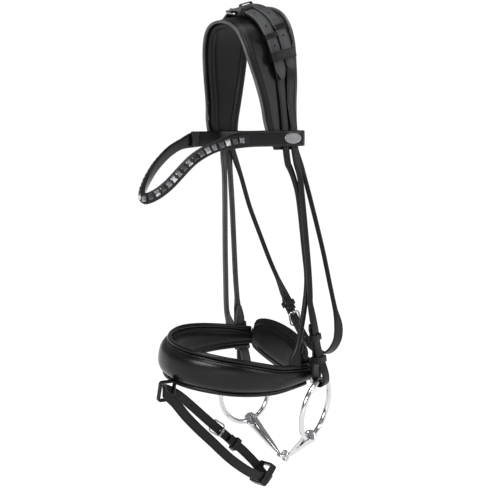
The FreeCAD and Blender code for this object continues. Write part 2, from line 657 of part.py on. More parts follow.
def nose_layer(low, thick, spare, u_end=8.0, u_step=0.5, up=0.0, high=None, first=None):
    """Layer wrapped on the noseband plan; low is its height above the inner face."""
    stations = []
    u = -u_end if first is None else first
    while u < u_end + 1e-6:
        ahead = (nose_point(min(u + 0.05, 8)) - nose_point(max(u - 0.05, -8))).normalize()
        out = ahead.cross(V(0, 0, 1))
        half = table(HALF, u)
        swell = thick(u) if callable(thick) else thick
        tall = high if high else 2 * (half - spare)
        lift = up(u) if callable(up) else up
        centre = nose_point(u) + out * (low + swell / 2) + V(0, 0, lift)
        stations.append((LEVEL.multVec(centre), LEVEL.Rotation.multVec(ahead.cross(out)),
            LEVEL.Rotation.multVec(out), tall, swell))
        u = u + u_step
    return stations


def noseband():
    lining, shell, roll = size("lining_thick"), size("shell_thick"), size("roll_wide")
    soft("noseband_lining", solid_of(nose_layer(0, lining, 0), 0.9))
    soft("noseband_leather", solid_of(nose_layer(lining + 0.3, shell, 0), 0.5))
    crown = (7.4, 7.2, 6.8, 6.2, 5.6, 4.6, 3.4, 2.6, 2.2)
    pad = nose_layer(lining + shell + 0.6, lambda u: table(crown, u), 0.8, 6.5)
    soft("noseband_pad", solid_of(pad, 1.0))
    edge = []
    for way in (1, -1):
        edge.append(solid_of(nose_layer(1.4, roll, 0, 7.5, 0.5,
            lambda u: way * (table(HALF, u) + roll / 2 + 0.15), roll), 1.0))
    soft("noseband_rolls", *edge)
    for side, name in ((1, "noseband_slot_near"), (-1, "noseband_slot_far")):
        end = nose_layer(lining + shell + 0.45, 2.4, 0, 8.0)[-1 if side > 0 else 0]
        centre, across, out, w, t = end
        along = across.cross(out) * -side
        if along.y < 0:
            along = along * -1
        window(name, placed(centre + along * 3.0, across, along, across.cross(along)),
               "sizes.crank_wide + 1.2", "7", "2.2", "2.2", 0.7)


def chin():
    """Chin pad with its rolled border, and the strap drawing the noseband closed."""
    up = 9.0
    plan = ((-48, 35, (0.15, 1, 0), 30), (-38, 38.6, (0.1, 1, 0), 41), (-20, 41.2, (0.05, 1, 0), 48),
        (0, 42, (0, 1, 0), 50),
            (20, 41.2, (-0.05, 1, 0), 48), (38, 38.6, (-0.1, 1, 0), 41), (48, 35, (-0.15, 1, 0), 30))

    def stations(low, thick, trim, steps=2):
        rows = run([(x * (1 - trim / 60.0), y, up, (-f[0], f[1], 0), w - 2 * trim, thick) for x, y, f,
            w in plan], steps)
        rows = [(c + o * (low + thick / 2), a, o, w, t) for c, a, o, w, t in rows]
        return [(LEVEL.multVec(c), LEVEL.Rotation.multVec(a), LEVEL.Rotation.multVec(o), w, t) for c, a, o, w,
            t in rows]
    # hollow in the back of the pad for the strap's keeper
    hollow = Part.makeBox(9, 8, 24)
    hollow.Placement = LEVEL.multiply(FreeCAD.Placement(V(-16.5, 50.6, -8.6), FreeCAD.Rotation()))
    soft("chin_pad", solid_of(stations(0, 10.9, 0), 0.9).cut(hollow))
    soft("chin_pad_cushion", solid_of(stations(-3.0, 2.7, 7.0), 0.9))
    belt, turn = size("crank_wide"), LEVEL.Rotation

    def leveled(rows, thick, steps=2):
        rows = run([(x, y, z, f + (0,), w, thick) for x, y, z, f, w in rows], steps)
        return [(LEVEL.multVec(c), turn.multVec(a), turn.multVec(o), w, t) for c, a, o, w, t in rows]
    # round the outer bar of a slot: (x, y, facing)
    bend = ((56.4, 50.0, (-0.3, -1)), (60.2, 49.3, (0.1, -1)), (63.2, 51.2, (1, -0.5)),
        (63.5, 54.6, (1, 0.4)),
            (61.4, 57.0, (0.4, 1)), (57.6, 57.5, (-0.2, 1)))
    far = [(-45, 57.6, 1.7, (0.1, 1), belt), (-51, 57.8, 1.2, (0, 1), belt)]
    far += [(-x, y, 0.2, (-f[0], f[1]), belt) for x, y, f in reversed(bend)]
    front = [(x, y, z, (0, -1), belt) for x, y, z in ((-50, 51.6, 1.4), (-38, 53.2, 2.5), (-20, 54.3, 3.2),
        (0, 54.6, 3.5),
                                                      (20, 54.3, 3.2), (38, 53.2, 2.5), (50, 51.6, 1.4))]
    near = [(x, y, 0.2, f, belt) for x, y, f in bend] + [(51, 57.8, 1.2, (0, 1), belt)]
    back = [(x, y, z, (0, 1), w) for x, y, z, w in ((44, 58.4, 2.1, 12), (32, 59.4, 2.7, 12),
        (20, 60.1, 3.1, 12), (11, 61.6, 3.3, 12),
                                                    (4, 62.5, 3.4, 12), (-4, 61.8, 3.4, 12),
                                                    (-12, 60.8, 3.4, 12),
                                                    (-21, 60.4, 3.3, 12), (-26, 60.3, 3.2, 5))]
    heel, toe = LEVEL.multVec(V(4, 58.6, 3.4)), LEVEL.multVec(V(19, 63.3, 3.1))
    cut = buckle("crank_buckle", heel, toe, turn.multVec(V(0, 0, 1)), turn.multVec(V(0, 1, 0)))
    soft("crank_strap", solid_of(leveled(far + front + near + back, THICK)).cut(cut))
    chape = solid_of(leveled([(-7, 56.75, 3.4, (0, 1), 13), (0, 56.75, 3.4, (0, 1), 13),
        (5, 56.75, 3.4, (0, 1), 13)], 1.0, 1))
    room = Part.makeBox(8, 6, 4.4, V(1, 54, 1.2))
    room.Placement = LEVEL
    soft("crank_chape", chape.cut(room))
    place = LEVEL.multiply(placed(V(-12, 57.6, 3.4), V(0, 0, 1), V(0, 1, 0), V(-1, 0, 0)))
    window("crank_keeper", place, "sizes.crank_wide + 0.8", "9.9", "sizes.keeper_wall", "6")


# ---------------------------------------------------------------- flash
def flash():
    wide, thick = size("flash_wide"), size("flash_thick")
    turn = LEVEL.Rotation
    place = placed(V(-2.8, -112.4, -415.2), turn.multVec(V(0, 1, 0)), turn.multVec(V(0, 0, 1)),
        turn.multVec(V(1, 0, 0)))
    window("flash_loop", place, "16", "19.4", "1.5", "5", 0.5)
    # one strap: from the buckle down the far side, round the end, up the near side,
    # through the loop and down the far side again to its tip
    far = (-1, -0.05, -0.15)
    down = ((-22, -13, -483.5, far), (-21.2, -5, -491.4, far), (-19, 4, -500, far), (-14.6, 11.5, -509, far),
            (-10, 17, -517, (-0.95, 0.1, -0.2)), (-8.6, 21, -523.5, (-0.9, 0.35, -0.3)),
            (-6, 25.5, -529.8, (-0.6, 0.6, -0.5)), (-0.4, 27.6, -533.2, (0, 0.8, -0.6)),
            (5.2, 23.4, -532, (0.6, 0.6, -0.5)), (7.8, 16, -528.4, (0.95, 0.2, -0.3)),
            (9.6, 7, -525.4, (1, 0, -0.15)),
            (15, -14, -515.5, (1, -0.05, -0.15)), (20, -42, -496.7, (1, 0, -0.1)),
            (22, -67.1, -474.7, (1, -0.1, -0.1)),
            (21, -85.8, -457.5, (0.95, -0.2, -0.1)), (17.5, -100.5, -441.5, (0.9, -0.35, -0.1)),
            (12.2, -110.5, -427.3, (0.8, -0.6, -0.1)),
            (6.6, -116, -420.5, (0.6, -0.8, -0.1)), (1.2, -117.8, -415.7, (0.2, -1, -0.1)),
            (-4.6, -115.2, -414.1, (-0.3, -1, -0.1)), (-9.6, -107.6, -414.9, (-0.75, -0.65, -0.1)),
            (-14, -89.4, -423.9, (-0.95, -0.25, -0.1)), (-19.2, -69.8, -437.9, far), (-23, -47, -456.2, far),
            (-25, -27, -472.3, far), (-25.6, -14, -482.8, far), (-24.8, -5, -491.6, far),
            (-23.6, 1, -496.9, far))
    knots = [(x, y, z, f, wide, thick) for x, y, z, f in down]
    knots[-1] = knots[-1][:4] + (4.6, thick)
    strap = run(knots, 2)
    centre, across, out, w, t = strap[2 * 25 - 2]
    along = across.cross(out).normalize()
    if along.y > 0:
        along = along * -1
    heel = centre - along * 3.0 - out * 3.8
    cut = buckle("flash_buckle", heel, centre + along * 11.0 + out * 3.0, across, out)
    shape = solid_of(strap).cut(cut)
    for k in (42, 44):
        c, a, o = strap[k][:3]
        shape = shape.cut(Part.makeCylinder(1.3, 8, c - o * 4, o))
    soft("flash_strap", shape)
    outer, inner = strap[2 * 26], strap[2]
    middle = (outer[0] + inner[0]) * 0.5
    keeper("flash_keeper", (middle, outer[1], outer[2], 0, 0), "sizes.flash_wide + 1.3", "7.6", "6")
    ahead = V(0, 0.8, -0.6)
    across = V(0, 0.6, 0.8)
    window("flash_end_keeper", placed(V(-0.6, 18.6, -525.0), across.cross(ahead), across, ahead),
           "21", "22.6", "sizes.keeper_wall", "6")


# ---------------------------------------------------------------- bit
CENTRE = V(-5.5, 52.7, -509)


def bit_ring(name, centre, normal):
    ring = doc.addObject("Part::Torus", name)
    ring.setExpression("Radius1", "sizes.ring_radius")
    ring.setExpression("Radius2", "sizes.ring_wire")
    ring.Placement = FreeCAD.Placement(centre, FreeCAD.Rotation(V(0, 0, 1), normal))
    return node(ring, name)


def mouth_arm(name, hole, ring_centre, normal, side, eye_normal):
    """Hollow-mouth arm: round butt with the ring hole, taper, centre eye."""
    spread = size("eye_radius") / 2
    eye_centre = CENTRE + V(side * spread, 0, 0)
    joint = eye_centre + V(side * size("eye_radius"), 0, 0)
    ahead = joint - hole
    reach = ahead.Length
    ahead.normalize()
    body = doc.addObject("PartDesign::Body", name + "_body")
    sk = sketch(body, name + "_profile", "XZ_Plane")
    butt, neck = size("arm_butt"), size("arm_neck")
    stop = reach - size("eye_wire") - 0.8
    rim = ((0, -7.0), (butt * 0.72, -7.0), (butt, -4.0), (butt, 6.0), (butt * 0.86, 22.0),
           (butt * 0.66, stop * 0.62), (neck, stop - 6), (neck * 0.62, stop), (0, stop))
    count = len(rim)
    for a, b in zip(rim, rim[1:] + rim[:1]):
        sk.addGeometry(Part.LineSegment(V(a[0], a[1], 0), V(b[0], b[1], 0)), False)
    for k in range(count):
        sk.addConstraint(Sketcher.Constraint("Coincident", k, 2, (k + 1) % count, 1))
    spin = body.newObject("PartDesign::Revolution", name + "_turn")
    spin.Profile = sk
    spin.ReferenceAxis = (sk, ["V_Axis"])
    spin.Angle = 360
    body.Tip = spin
    doc.recompute()
    body.Placement = FreeCAD.Placement(hole, FreeCAD.Rotation(V(0, 0, 1), ahead))
    eye = doc.addObject("Part::Torus", name + "_eye")
    eye.setExpression("Radius1", "sizes.eye_radius")
    eye.setExpression("Radius2", "sizes.eye_wire")
    eye.Placement = FreeCAD.Placement(eye_centre, FreeCAD.Rotation(V(0, 0, 1), eye_normal))
    neck_bar = tube(name + "_neck", hole + ahead * (stop - 4), joint, "sizes.eye_wire * 0.95")
    whole = doc.addObject("Part::MultiFuse", name + "_whole")
    whole.Shapes = [body, neck_bar, eye]
    way = doc.addObject("Part::Torus", name + "_way")
    way.setExpression("Radius1", "sizes.ring_radius")
    way.setExpression("Radius2", "sizes.hole_wire")
    way.Placement = FreeCAD.Placement(ring_centre, FreeCAD.Rotation(V(0, 0, 1), normal))
    arm = doc.addObject("Part::Cut", name)
    arm.Base = whole
    arm.Tool = way
    return node(arm, name)


def bit():
    near_normal = V(0.858, 0.469, -0.21).normalize()
    near_up = (V(0, 0, 1) - near_normal * near_normal.z).normalize()
    near_centre = V(67, 44, -441)
    far_centre = V(-73, 43, -443)
    bit_ring("bit_ring_near", near_centre, near_normal)
    bit_ring("bit_ring_far", far_centre, V(1, 0, 0))
    radius = size("ring_radius")
    near_hole = near_centre - near_up * radius
    far_hole = far_centre + V(0, 9.8, -math.sqrt(radius ** 2 - 9.8 ** 2))
    mouth_arm("bit_arm_near", near_hole, near_centre, near_normal, 1, V(0, 1, 0))
    mouth_arm("bit_arm_far", far_hole, far_centre, V(1, 0, 0), -1, V(0, 0, 1))


headpiece()
poll_straps()
billet_parts()
browband()
throatlash()
noseband()
chin()
flash()
bit()
doc.recompute()

for obj in doc.Objects:
    if "Invalid" in obj.State or "Error" in obj.State:
        raise RuntimeError("%s: %s" % (obj.Label, obj.State))
    if obj in NODES:
        if obj.Shape.isNull() or not obj.Shape.isValid():
            raise RuntimeError("bad shape %s" % obj.Label)

os.makedirs("parts", exist_ok=True)
for obj in NODES:
    obj.Shape.exportStep("parts/%s.step" % obj.Label)
print(len(NODES), "nodes written")
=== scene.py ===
import math
import bpy
import bmesh
from mathutils import Matrix, Vector


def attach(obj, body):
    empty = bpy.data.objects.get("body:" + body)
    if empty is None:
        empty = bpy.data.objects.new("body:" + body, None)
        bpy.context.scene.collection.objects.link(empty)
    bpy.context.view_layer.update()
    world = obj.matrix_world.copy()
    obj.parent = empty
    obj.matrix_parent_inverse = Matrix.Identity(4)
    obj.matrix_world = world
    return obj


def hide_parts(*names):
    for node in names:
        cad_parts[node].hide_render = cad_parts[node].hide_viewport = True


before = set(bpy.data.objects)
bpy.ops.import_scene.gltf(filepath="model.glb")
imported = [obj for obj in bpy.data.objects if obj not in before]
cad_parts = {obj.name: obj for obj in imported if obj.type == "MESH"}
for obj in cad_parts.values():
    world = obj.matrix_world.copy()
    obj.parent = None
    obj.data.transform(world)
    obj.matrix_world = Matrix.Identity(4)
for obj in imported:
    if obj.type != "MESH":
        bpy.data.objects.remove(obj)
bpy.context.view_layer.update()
MM = 0.001
STITCH_LEAN = 0.10  # how far a stitch slants across its row
PAD_SEAM, STRAP_SEAM = (3.2, 2.1), (3.0, 2.0)  # pitch and length of the stitches


def V(x, y, z):
    return Vector((x, y, z))


# ---------------------------------------------------------------- lines, all in millimetres
def clamp(v):
    return min(max(v, 0.0), 1.0)


def smooth(v):
    v = clamp(v)
    return v * v * (3 - 2 * v)


def spline(knots, at):
    """Smooth value through equally spaced knots (numbers or vectors)."""
    last = len(knots) - 1
    i = min(int(at), last - 1)
    f = at - i
    b, c = knots[i], knots[i + 1]
    a = knots[i - 1] if i > 0 else b * 2 - c
    d = knots[i + 2] if i + 2 <= last else c * 2 - b
    return (b * 2 + (c - a) * f + (a * 2 - b * 5 + c * 4 - d) * (f * f)
            + (b * 3 - a - c * 3 + d) * (f * f * f)) * 0.5


def run(knots, steps=3):
    """Stations (centre, across, out, wide, thick); knot = (x, y, z, facing, wide, thick)."""
    line = [V(*k[:3]) for k in knots]
    face = [V(*k[3]) for k in knots]
    wide = [float(k[4]) for k in knots]
    thick = [float(k[5]) for k in knots]
    last = len(knots) - 1
    out = []
    for j in range(last * steps + 1):
        at = j / steps
        ahead = spline(line, min(at + 0.04, last)) - spline(line, max(at - 0.04, 0))
        ahead.normalize()
        across = ahead.cross(spline(face, at))
        across.normalize()
        out.append((spline(line, at), across, across.cross(ahead), spline(wide, at), spline(thick, at)))
    return out


def refine(stations, n):
    """The same line with n stations in place of one, smoothly between."""
    columns = [list(c) for c in zip(*stations)]
    last, out = len(stations) - 1, []
    for j in range(last * n + 1):
        at = j / n
        c, a, o = [spline(col, at) for col in columns[:3]]
        i = min(int(at), last - 1)
        w, t = [col[i] + (col[i + 1] - col[i]) * (at - i) for col in columns[3:]]
        out.append((c, a.normalized(), o.normalized(), w, t))
    return out


def distances(stations):
    marks = [0.0]
    for a, b in zip(stations, stations[1:]):
        marks.append(marks[-1] + (b[0] - a[0]).length)
    return marks


def at_distance(stations, marks, want):
    i = 0
    while i < len(marks) - 2 and marks[i + 1] < want:
        i += 1
    f = (want - marks[i]) / max(marks[i + 1] - marks[i], 1e-6)
    p, q = stations[i], stations[i + 1]
    c, a, o = [p[k] + (q[k] - p[k]) * f for k in range(3)]
    return c, a.normalized(), o.normalized(), p[3] + (q[3] - p[3]) * f, p[4] + (q[4] - p[4]) * f


def tip(stations, long, power=0.55, least=0.9):
    """Points the end of a strap over its last stretch."""
    marks = distances(stations)
    out = []
    for (c, a, o, w, t), m in zip(stations, marks):
        left = (marks[-1] - m) / long
        if left < 1:
            w = least + (w - least) * clamp(left) ** power
            t = t * (0.7 + 0.3 * clamp(left))
        out.append((c, a, o, w, t))
    return out


def shifted(stations, up, wide=None, thick=None):
    """The same line moved off its face."""
    return [(c + o * up, a, o, wide or w, thick or t) for c, a, o, w, t in stations]


def between(rows, at):
    """Row at a place, straight between the given rows; each row starts with its own place."""
    for a, b in zip(rows, rows[1:]):
        if (at - a[0]) * (at - b[0]) <= 1e-9:
            k = (at - a[0]) / (b[0] - a[0])
            return [p + (q - p) * k for p, q in zip(a, b)]


def circle(n):
    return [(math.cos(2 * math.pi * k / n), math.sin(2 * math.pi * k / n)) for k in range(n)]


def quads(p, q, n):
    """Faces between two closed rings of n points that start at p and q."""
    return [(p + i, p + (i + 1) % n, q + (i + 1) % n, q + i) for i in range(n)]


# ---------------------------------------------------------------- meshes
def rounded(soft=0.8, crown=0.0, arcs=5, mids=5, hollow=0.0):
    """Section of a strap: rounded corners, an outer face raised by crown, an inner one sunk by hollow."""
    def section(w, t, f):
        r = min(w, t) / 2 * (soft + (0.999 - soft) * clamp((t / w - 0.35) / 0.5))
        hx, hy = w / 2 - r, t / 2 - r
        points = []
        for k, (cx, cy) in enumerate(((hx, hy), (-hx, hy), (-hx, -hy), (hx, -hy))):
            for i in range(arcs + 1):
                ang = math.radians(90 * k + 90 * i / arcs)
                points.append((cx + r * math.cos(ang), cy + r * math.sin(ang)))
            if k in (0, 2):
                for j in range(1, mids + 1):
                    points.append((cx * (1 - 2 * j / (mids + 1)), cy + r * (1 if k == 0 else -1)))
        out = []
        for x, y in points:
            swell = 1 - (2 * x / w) ** 2
            out.append((x, y + (crown if y > 0 else hollow) * swell, w / 2 - abs(x)))
        return out
    return section


def add_object(name, data):
    obj = bpy.data.objects.new(name, data)
    bpy.context.scene.collection.objects.link(obj)
    return obj


def make(name, verts, faces, mat, body, nodes, attrs=None, flat=False):
    """One shown piece in millimetres that rides on a body and stands for CAD nodes."""
    mesh = bpy.data.meshes.new(name)
    mesh.from_pydata([v * MM for v in verts], [], faces)
    for key, values in (attrs or {}).items():
        mesh.attributes.new(key, "FLOAT", "POINT").data.foreach_set("value", values)
    bm = bmesh.new()
    bm.from_mesh(mesh)
    bmesh.ops.recalc_face_normals(bm, faces=bm.faces)
    bm.to_mesh(mesh)
    bm.free()
    mesh.polygons.foreach_set("use_smooth", [not flat] * len(mesh.polygons))
    mesh.materials.append(mat)
    obj = add_object(name, mesh)
    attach(obj, body)
    if nodes:
        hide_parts(*nodes)
    return obj


class Skin:
    """Gathers several lofts into one piece."""

    def __init__(self):
        self.verts, self.faces, self.edge, self.along = [], [], [], []

    def loft(self, stations, section=None, closed=False):
        section = section or rounded()
        marks = distances(stations)
        total = max(marks[-1], 1e-6)
        base, rings = len(self.verts), len(stations)
        for (c, a, o, w, t), m in zip(stations, marks):
            ring = section(w, t, m / total)
            count = len(ring)
            for x, y, e in ring:
                self.verts.append(c + a * x + o * y)
                self.edge.append(e)
                self.along.append(m)
        for k in range(rings if closed else rings - 1):
            self.faces += quads(base + k * count, base + ((k + 1) % rings) * count, count)
        if not closed:
            for start, k in ((base, 0), (base + (rings - 1) * count, rings - 1)):
                self.verts.append(stations[k][0] * 1.0)
                self.edge.append(0.0)
                self.along.append(marks[k])
                for i in range(count):
                    self.faces.append((start + i, start + (i + 1) % count, len(self.verts) - 1))
        return self

    def solid(self, verts, faces):
        base = len(self.verts)
        self.verts += verts
        self.edge += [3.0] * len(verts)
        self.along += [0.0] * len(verts)
        self.faces += [tuple(base + i for i in f) for f in faces]

    def stitch(self, stations, inset, pitch, long, fat, high=None, start=3.0, end=3.0):
        """A row of stitches inset from each edge of a line, on its outer face."""
        marks = distances(stations)
        for side in (1, -1):
            want = start
            while want < marks[-1] - end:
                c, a, o, w, t = at_distance(stations, marks, want)
                ahead = a.cross(o).normalized()
                foot = c + a * (side * max(w / 2 - inset, 0.0)) + o * (t / 2 if high is None else high)
                self.bead(foot, ahead + a * STITCH_LEAN, o, long / 2, fat)
                want += pitch
        return self

    def bead(self, centre, ahead, out, half, fat):
        """A pointed bead: one stitch, or one claw of a stone setting."""
        ahead = ahead.normalized()
        side = ahead.cross(out).normalized()
        up = side.cross(ahead)
        verts = [centre - ahead * half - up * fat * 0.5]
        for s, k in ((-0.55, 0.85), (0.0, 1.0), (0.55, 0.85)):
            for x, y in circle(6):
                verts.append(centre + ahead * (half * s) + side * (fat * k * x) + up * (fat * k * y))
        verts.append(centre + ahead * half - up * fat * 0.5)
        faces = [(0, 1 + (i + 1) % 6, 1 + i) for i in range(6)] + quads(1, 7, 6) + quads(7, 13, 6)
        self.solid(verts, faces + [(19, 13 + i, 13 + (i + 1) % 6) for i in range(6)])

    def done(self, name, mat, body, nodes, slot, flat=False):
        return make(name, self.verts, self.faces, mat, body, nodes,
                    {"edge": self.edge, "along": self.along}, flat)


def loft(name, stations, mat, body, nodes=(), slot=None, section=None, closed=False):
    return Skin().loft(stations, section, closed).done(name, mat, body, nodes, slot)


def hoop_stations(c, x, y, z, wide, high, corner, wall, deep, n=6):
    """Stations round a rounded rectangle with inner size wide by high, in the plane of x and y."""
    w, h, r = wide / 2 + wall / 2, high / 2 + wall / 2, corner + wall / 2
    r = min(r, w - 0.01, h - 0.01)
    out = []
    corners = ((w - r, h - r), (r - w, h - r), (r - w, r - h), (w - r, r - h))
    for k, (cx, cy) in enumerate(corners):
        for i in range(n + 1):
            ang = math.radians(90 * k + 90 * i / n)
            normal = x * math.cos(ang) + y * math.sin(ang)
            out.append((c + x * cx + y * cy + normal * r, z, normal, deep, wall))
        dx, dy = corners[(k + 1) % 4]
        ex, ey = ((0, 1), (-1, 0), (0, -1), (1, 0))[k]
        normal = (y, x * -1, y * -1, x)[k]
        for s in (0.33, 0.67):
            px, py = cx + r * ex + (dx - cx) * s, cy + r * ey + (dy - cy) * s
            out.append((c + x * px + y * py, z, normal, deep, wall))
    return out


def ring_stations(centre, normal, radius, wire, n):
    """Stations round a ring of round wire."""
    normal = normal.normalized()
    x = normal.orthogonal().normalized()
    y = normal.cross(x)
    ways = [x * p + y * q for p, q in circle(n)]
    return [(centre + d * radius, normal, d, wire * 2, wire * 2) for d in ways]


def drill(obj, holes):
    """Cuts round strap holes through a piece; a hole is (centre, direction)."""
    radius, long, count = 1.3, 9.0, 20
    verts, faces = [], []
    for centre, way in holes:
        way = way.normalized()
        x = way.orthogonal().normalized()
        y = way.cross(x)
        base = len(verts)
        for s in (-long / 2, long / 2):
            for p, q in circle(count):
                verts.append((centre + way * s + x * (radius * p) + y * (radius * q)) * MM)
        faces += quads(base, base + count, count)
        faces += [tuple(base + i for i in reversed(range(count))),
            tuple(base + count + i for i in range(count))]
    cut(obj, verts, faces)


def cut(obj, verts, faces):
    """Takes a closed shape, in metres, out of a piece."""
    mesh = bpy.data.meshes.new("cutter")
    mesh.from_pydata(verts, [], faces)
    tool = add_object("cutter", mesh)
    mod = obj.modifiers.new("holes", "BOOLEAN")
    mod.operation, mod.solver, mod.object = "DIFFERENCE", "EXACT", tool
    bpy.context.view_layer.update()
    graph = bpy.context.evaluated_depsgraph_get()
    fresh = bpy.data.meshes.new_from_object(obj.evaluated_get(graph))
    obj.modifiers.clear()
    obj.data = fresh
    bpy.data.objects.remove(tool)


# ---------------------------------------------------------------- finishes
TINT = 0.35  # how much leather varies from its own colour


def start_finish(name):
    mat = bpy.data.materials.new(name)
    mat.use_nodes = True
    tree = mat.node_tree
    return mat, tree, tree.nodes["Principled BSDF"]


def preset(node, **values):
    """Sets sockets by name, with _ for a space."""
    for key, v in values.items():
        node.inputs[key.replace("_", " ")].default_value = v


def object_coord(tree):
    return tree.nodes.new("ShaderNodeTexCoord").outputs["Object"]


def maths(tree, op, a, b=None, clip=False):
    n = tree.nodes.new("ShaderNodeMath")
    n.operation = op
    n.use_clamp = clip
    for k, v in enumerate((a, b)):
        if v is None:
            continue
        if isinstance(v, (int, float)):
            n.inputs[k].default_value = v
        else:
            tree.links.new(v, n.inputs[k])
    return n.outputs[0]


def remap(tree, value, low, high):
    """0 at low and 1 at high, smoothly between."""
    n = tree.nodes.new("ShaderNodeMapRange")
    n.interpolation_type = "SMOOTHSTEP"
    tree.links.new(value, n.inputs["Value"])
    preset(n, From_Min=low, From_Max=high, To_Min=0.0, To_Max=1.0)
    return n.outputs["Result"]


def mixed(tree, factor, a, b):
    n = tree.nodes.new("ShaderNodeMix")
    n.data_type = "RGBA"
    tree.links.new(factor, n.inputs["Factor"])
    for key, v in (("A", a), ("B", b)):
        socket = [s for s in n.inputs if s.name == key and s.type == "RGBA"][0]
        if isinstance(v, tuple):
            socket.default_value = v + (1.0,)
        else:
            tree.links.new(v, socket)
    return [s for s in n.outputs if s.type == "RGBA"][0]


def noise(tree, coord, scale, detail=3.0, stretch=None):
    n = tree.nodes.new("ShaderNodeTexNoise")
    preset(n, Scale=scale, Detail=detail)
    if stretch:
        mapping = tree.nodes.new("ShaderNodeMapping")
        mapping.inputs["Scale"].default_value = stretch
        tree.links.new(coord, mapping.inputs["Vector"])
        coord = mapping.outputs["Vector"]
    tree.links.new(coord, n.inputs["Vector"])
    return n.outputs["Fac"]


def bump(tree, height, strength, distance, normal=None):
    n = tree.nodes.new("ShaderNodeBump")
    preset(n, Strength=strength, Distance=distance)
    tree.links.new(height, n.inputs["Height"])
    if normal is not None:
        tree.links.new(normal, n.inputs["Normal"])
    return n.outputs["Normal"]


def leather(name, base, rough, grain, scale, creases=(), worn=0.0, coat=0.0, folds=0.0):
    """Dyed leather: pores, broad shading, pressed crease lines beside the edges with painted shade in them,
    paler worn edges.
    """
    mat, tree, bsdf = start_finish(name)
    coord = object_coord(tree)
    pores = tree.nodes.new("ShaderNodeTexVoronoi")
    pores.inputs["Scale"].default_value = scale
    tree.links.new(coord, pores.inputs["Vector"])
    fine = noise(tree, coord, scale * 1.9, 4.0)
    broad = noise(tree, coord, 26.0, 4.0)
    height = maths(tree, "ADD", maths(tree, "MULTIPLY", pores.outputs["Distance"], 0.7),
        maths(tree, "MULTIPLY", fine, 0.5))
    normal = bump(tree, height, grain, 0.0004)
    if folds:
        normal = bump(tree, noise(tree, coord, 75.0, 3.0, (1, 1, 0.35)), folds, 0.004, normal)
    edge = tree.nodes.new("ShaderNodeAttribute")
    edge.attribute_name = "edge"
    edge = edge.outputs["Fac"]
    light = tuple(min(c * (1 + TINT) + 0.0005, 1) for c in base)
    dark = tuple(c * (1 - TINT) for c in base)
    colour = mixed(tree, remap(tree, broad, 0.3, 0.72), dark, light)
    for line in creases:
        crease_and_shade = remap(tree, maths(tree, "ABSOLUTE", maths(tree, "SUBTRACT", edge, line)), 0.08, 0.42)
        normal = bump(tree, crease_and_shade, 0.9, 0.0005, normal)
        # painted shade: the colour goes darker inside each crease line
        colour = mixed(tree, crease_and_shade, tuple(c * 0.3 for c in base), colour)
    if worn:
        rub = maths(tree, "MULTIPLY", remap(tree, edge, 0.75, 0.1), maths(tree, "MULTIPLY", broad, worn),
            True)
        colour = mixed(tree, rub, colour, tuple(min(c * 3 + 0.012, 1) for c in base))
    tree.links.new(colour, bsdf.inputs["Base Color"])
    roughness = maths(tree, "ADD", rough - 0.07, maths(tree, "MULTIPLY", noise(tree, coord, 140.0), 0.14))
    tree.links.new(roughness, bsdf.inputs["Roughness"])
    preset(bsdf, Specular_IOR_Level=0.18, Coat_Weight=coat * 0.45, Coat_Roughness=0.28)
    tree.links.new(normal, bsdf.inputs["Normal"])
    return mat


def metal(name, base, rough, scratch, dull=0.0):
    """Polished or satin metal with fine scratches that change its roughness."""
    mat, tree, bsdf = start_finish(name)
    coord = object_coord(tree)
    scratches = noise(tree, coord, 300.0, 5.0, (1, 1, 7))
    tree.links.new(maths(tree, "ADD", rough, maths(tree, "MULTIPLY", scratches, scratch)),
        bsdf.inputs["Roughness"])
    tree.links.new(bump(tree, scratches, 0.012 + dull, 0.0002), bsdf.inputs["Normal"])
    colour = mixed(tree, noise(tree, coord, 40.0), tuple(c * 0.9 for c in base), base)
    tree.links.new(colour, bsdf.inputs["Base Color"])
    preset(bsdf, Metallic=1.0)
    return mat


def stone_finish(name, base, metallic):
    """Cut glass with a foil back."""
    mat, tree, bsdf = start_finish(name)
    coord = object_coord(tree)
    colour = mixed(tree, remap(tree, noise(tree, coord, 420.0, 1.0), 0.35, 0.65),
        tuple(c * 0.55 for c in base), base)
    tree.links.new(colour, bsdf.inputs["Base Color"])
    preset(bsdf, Metallic=metallic, Roughness=0.04, Coat_Weight=1.0, Coat_Roughness=0.02)
    return mat


STRAP = leather("strap_leather", (0.002, 0.0021, 0.0023), 0.38, 0.22, 1300.0, (1.55,), 0.5, 0.15)
# painted light: a lighter copy of the strap leather, as if the straps over the poll catch more light
STRAP_PAINTED_LIGHT = leather("poll_strap_painted_light_leather", (0.034, 0.0346, 0.036), 0.44, 0.25, 1200.0, (1.55,), 0.6, 0.1)
ROLLED = leather("rolled_leather", (0.0018, 0.0019, 0.0021), 0.34, 0.2, 1300.0, (), 0.0, 0.2)
KEEPER = leather("keeper_leather", (0.0028, 0.0029, 0.0032), 0.36, 0.2, 1300.0, (1.05,), 0.5, 0.25)
CALF = leather("padded_leather", (0.0012, 0.0013, 0.0016), 0.26, 0.16, 1500.0, (), 0.0, 0.35, 0.10)
SHELL = leather("headpiece_leather", (0.002, 0.0021, 0.0024), 0.34, 0.2, 1300.0, (), 0.3, 0.2)
LINING = leather("lining_leather", (0.0018, 0.0019, 0.0021), 0.44, 0.18, 1500.0, (), 0.0, 0.05, 0.12)
